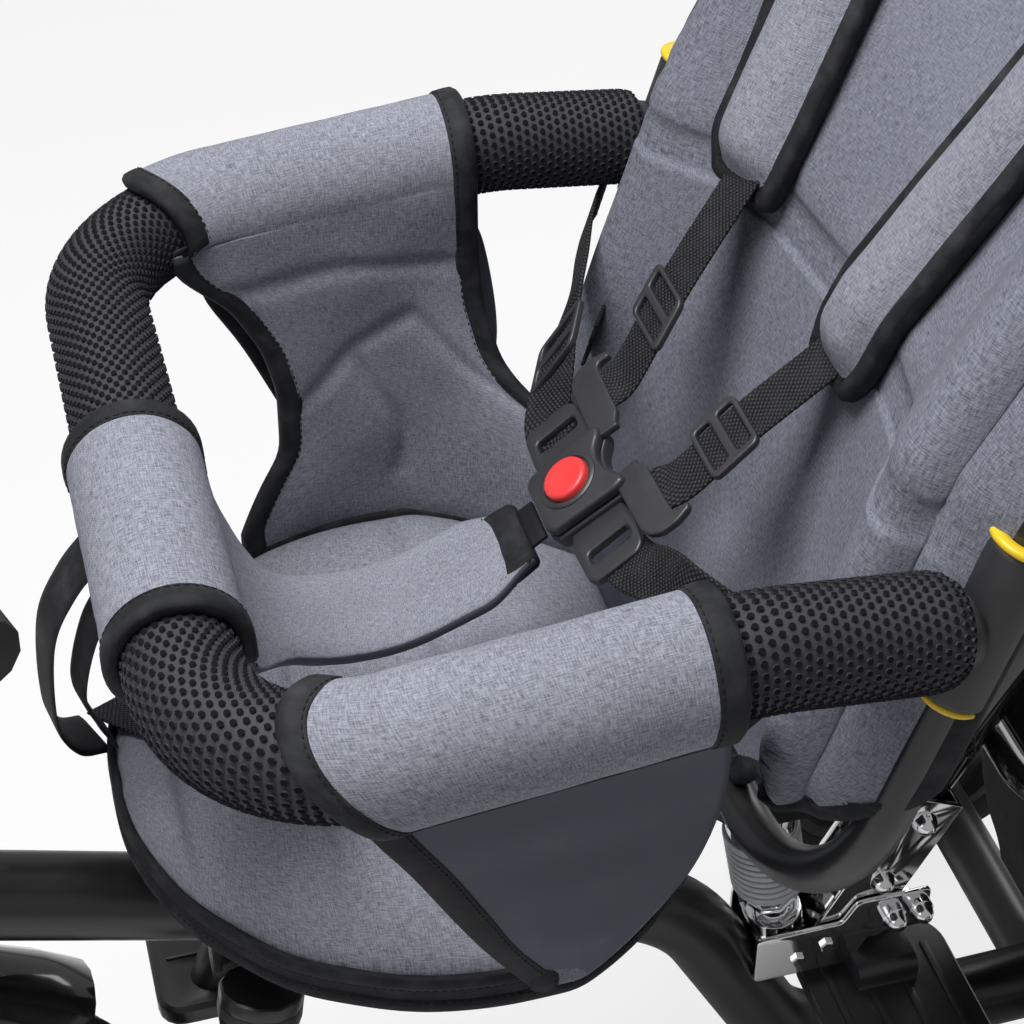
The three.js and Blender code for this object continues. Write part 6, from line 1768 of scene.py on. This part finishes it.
def make_main_tube():
    corners = [vec(0, -413.5, 381), vec(0, -35, 261), vec(0, 39, 118), vec(0, 200, 120)]
    piece = Piece("main_tube_smooth")
    sweep(piece, bent(corners, [0, 95, 62, 0], 4), MAIN_TUBE_R, 48, "satin_black", up=(1, 0, 0))
    ear = [(-EAR_R, -21), (EAR_R, -21)] + [(EAR_R * math.cos(a), EAR_R * math.sin(a))
                                          for a in np.linspace(0, math.pi, 20)]
    for x in (-EAR_X, EAR_X):
        piece.mesh(flat_part([ear], 5, 1), "satin_black", place_at((x, HINGE_Y, HINGE_Z), (0, 1, 0), (0, 0, 1)))
    base = rounded(-30, -13, 30, 13, 3)
    piece.mesh(flat_part([base], 20, 2), "satin_black", place_at((0, HINGE_Y, 328), (1, 0, 0), (0, 1, 0)))
    piece.make("frame", "satin_black_steel", ["main_tube"], angle=50)


make_main_tube()

# %% [markdown]
# ## The clamps
#
# A moulded sleeve on each leg of the back frame holds an end of the guard ring, between
# two yellow bushes. They are turned parts: each profile is a list of (radius, height)
# along the leg, or along the ring for the short socket that points forward.

# %% Clamps
CLAMP_SLEEVE = [(10.4, -32.4), (13.6, -32.7), (14.6, -31.6), (14.8, -30), (14.8, 36), (14.5, 38), (13.4, 38.7),
                (10.4, 38.5)]
CLAMP_SOCKET = [(0, 8), (16, 8), (16.4, 12), (17, 16), (17, 22), (15.5, 24), (0, 24)]
BUSHES = [[(10.3, 38.6), (15.2, 38.8), (15.9, 39.6), (15.9, 41.2), (15.2, 42), (11, 42.2), (10.3, 41.6)],
          [(10.3, -33), (13.2, -33), (13.8, -33.8), (13.8, -35.2), (13.1, -36), (10.3, -36)]]


def axis_at(origin, way):
    """A place for a turned part, with its axis along way and its first side along x."""
    return place_at(origin, SIDEWAYS, np.cross(way, SIDEWAYS), way)


def make_clamp(side):
    name = side_name(side)
    clamp = vec(side * RING_HALF, BACK_Y, CLAMP_Z)
    leg, ahead = axis_at(clamp, unit(vec(0, LEAN, 1))), axis_at(clamp, unit(vec(0, -1, RISE)))
    piece = Piece(f"clamp_{name}")
    turned(piece, CLAMP_SLEEVE, "plastic", leg, 48)
    turned(piece, CLAMP_SOCKET, "plastic", ahead, 48)
    piece.make("seat", "black_plastic", [f"clamp_sleeve_{name}"])
    piece = Piece(f"clamp_bush_{name}_rings")
    for bush in BUSHES:
        turned(piece, bush, "yellow", leg, 48)
    piece.make("seat", "yellow_plastic", [f"clamp_bush_{name}"])


for side in (1, -1):
    make_clamp(side)

# %% [markdown]
# ## The shock absorber
#
# Under the seat sits a shock absorber with a ribbed smoky sleeve and a chrome cap with two
# bolts. Its parts are turned round its own leaning axis, and the ribs are one profile
# repeated at even steps, in a loop.

# %% Shock absorber
SHOCK_LOW, SHOCK_HIGH = vec(0, 25, 224), vec(0, 7, 322)
SHOCK_WAY, SHOCK_LENGTH = unit(SHOCK_HIGH - SHOCK_LOW), float(np.linalg.norm(SHOCK_HIGH - SHOCK_LOW))
SLEEVE_INNER, SLEEVE_R, SLEEVE_RIBS, SLEEVE_HIGH, SLEEVE_LOW = 18.9, 20, 9, SHOCK_LENGTH - 17, SHOCK_LENGTH - 60


def bolt(piece, place, way, radius=4.2, height=2.4, sides=6):
    side = unit(np.cross(way, (0.3, 0.9, 0.2)))
    at = place_at(place, side, np.cross(way, side), way)
    turned(piece, [(0, height), (radius * 0.8, height), (radius, height * 0.7), (radius, -1)], "chrome", at, sides)


def make_shock():
    place, high, low = axis_at(SHOCK_LOW, SHOCK_WAY), SLEEVE_HIGH, SLEEVE_LOW
    piece = Piece("shock_ribs")
    profile = [(SLEEVE_INNER, low), (SLEEVE_R, low)]
    for z in np.linspace(low + 3, high - 3, SLEEVE_RIBS):
        profile += [(19.4, z - 2.4), (20.4, z - 1), (20.4, z + 1), (19.4, z + 2.4)]
    profile += [(SLEEVE_R, high), (SLEEVE_INNER, high)]
    turned(piece, profile, "smoky", place, 56)
    turned(piece, [(SLEEVE_INNER, high), (SLEEVE_INNER, low)], "smoky", place, 56)
    piece.make("seat", "smoky_plastic", ["shock_sleeve"])
    piece = Piece("shock_top")
    turned(piece, [(0, high + 17), (9, high + 16.4), (15, high + 13), (18, high + 7), (18.6, high), (18.6, high - 2)],
           "chrome", place, 48)
    for y in (-9, 9):
        at = SHOCK_LOW + SHOCK_WAY * (high + 13) + vec(7, y, 0)
        bolt(piece, at, SHOCK_WAY, 4.6, 5, 24)
    piece.make("seat", "chrome")


make_shock()

# %% [markdown]
# ## The rear bracket
#
# A pressed channel of chromed steel holds the shock's foot and the stud of the brake
# pedal. Two side plates and two floors make it, with hexagon bolts and domed nuts on its
# left side, and the stud with its grey bush is turned.

# %% Rear bracket
CHANNEL_SIDE = [(6, 203), (62, 203), (71, 222), (104, 222), (104, 250), (62, 250), (54, 236), (6, 236)]
CHANNEL_X, CHANNEL_PLATE, CHANNEL_FACE, STUD_Y = 19.5, 3, 20.9, 78.5
CHANNEL_FLOORS = [((6, 62), 204.5), ((66, 104), 223.5)]
STUD = [(0, 224), (15, 224), (15, 219), (13, 217.5), (8, 217), (8, 192), (0, 192)]
STUD_BUSH = [(8, 217), (12.4, 216.6), (13, 215), (13, 206), (8, 205)]
STUD_PIN = [(0, -15), (3, -15), (3, 15), (0, 15)]
DOMED_NUT = [(0, 13), (3.4, 12), (5.6, 9), (6, 6), (7, 5), (7, 0), (0, 0)]


def make_bracket():
    piece = Piece("bracket_channel")

    def plate(loop, place, x, y):
        piece.mesh(flat_part([loop], CHANNEL_PLATE, 0.7, 2), "chrome", place_at(place, x, y))

    for x in (-CHANNEL_X, CHANNEL_X):
        plate(soft_loop(CHANNEL_SIDE, 3), (x, 0, 0), (0, 1, 0), (0, 0, 1))
    for (rear, front), z in CHANNEL_FLOORS:
        plate(rounded(-19, rear, 19, front, 1), (0, 0, z), (1, 0, 0), (0, 1, 0))
    stud = place_at((0, STUD_Y, 0), (1, 0, 0), (0, 1, 0))
    turned(piece, STUD, "chrome", stud)
    turned(piece, STUD_BUSH, "bush", stud)
    turned(piece, STUD_PIN, "chrome", place_at((0, STUD_Y, 196), (0, 1, 0), (0, 0, 1)), 16)
    for y, z in ((30, 215), (46, 222)):
        bolt(piece, vec(CHANNEL_FACE, y, z), SIDEWAYS)
    for y, z in ((82, 238), (97, 240)):
        turned(piece, DOMED_NUT, "chrome", place_at((CHANNEL_FACE, y, z), (0, 1, 0), (0, 0, 1)), 24)
    piece.make("frame", "chrome", ["rear_bracket"], angle=40)


make_bracket()

# %% [markdown]
# ## Finishes on the CAD pieces
#
# The steel and plastic pieces stay in place. A Bevel modifier rounds their edges and
# smooth shading does the rest.

# %% CAD finishes
CAD_FINISH = {
    "satin_black": ["head_tube", "rear_axle_beam", "fork", "handlebar", "push_tube_upper", "seat_carrier",
                    "footrest_leg_left", "footrest_leg_right"],
    "gloss_black": ["front_fender", "push_tube_lower"],
    "chrome": ["crank", "shock_foot", "shock_spring", "push_socket", "shock_cap"],
    "plastic": ["push_lock", "footrest_bracket", "front_wheel", "rear_wheel_left", "rear_wheel_right", "pedal_left",
                "pedal_right"],
    "buckle": ["brake_treadle"],
    "rubber": ["front_tyre", "rear_tyre_left", "rear_tyre_right", "grip_left", "grip_right"],
    "mesh": ["push_grip_left", "push_grip_right"],
    "webbing": ["crotch_strap"],
}


CAD_EDGE, SHARP_ANGLE = 0.5, 40


def finish_cad(name, finish):
    node = bpy.data.objects[name]
    node.data.materials.clear()
    node.data.materials.append(FINISH[finish])
    node.modifiers.new("weld", "WELD").merge_threshold = WELD
    bevel = node.modifiers.new("bevel", "BEVEL")
    bevel.width, bevel.segments, bevel.limit_method = CAD_EDGE * MM, 2, "ANGLE"
    bevel.angle_limit = math.radians(SHARP_ANGLE)
    bevel.harden_normals = False
    node.data.polygons.foreach_set("use_smooth", [True] * len(node.data.polygons))


for finish, nodes in CAD_FINISH.items():
    for name in nodes:
        finish_cad(name, finish)
print("CAD pieces kept:", sum(len(nodes) for nodes in CAD_FINISH.values()))
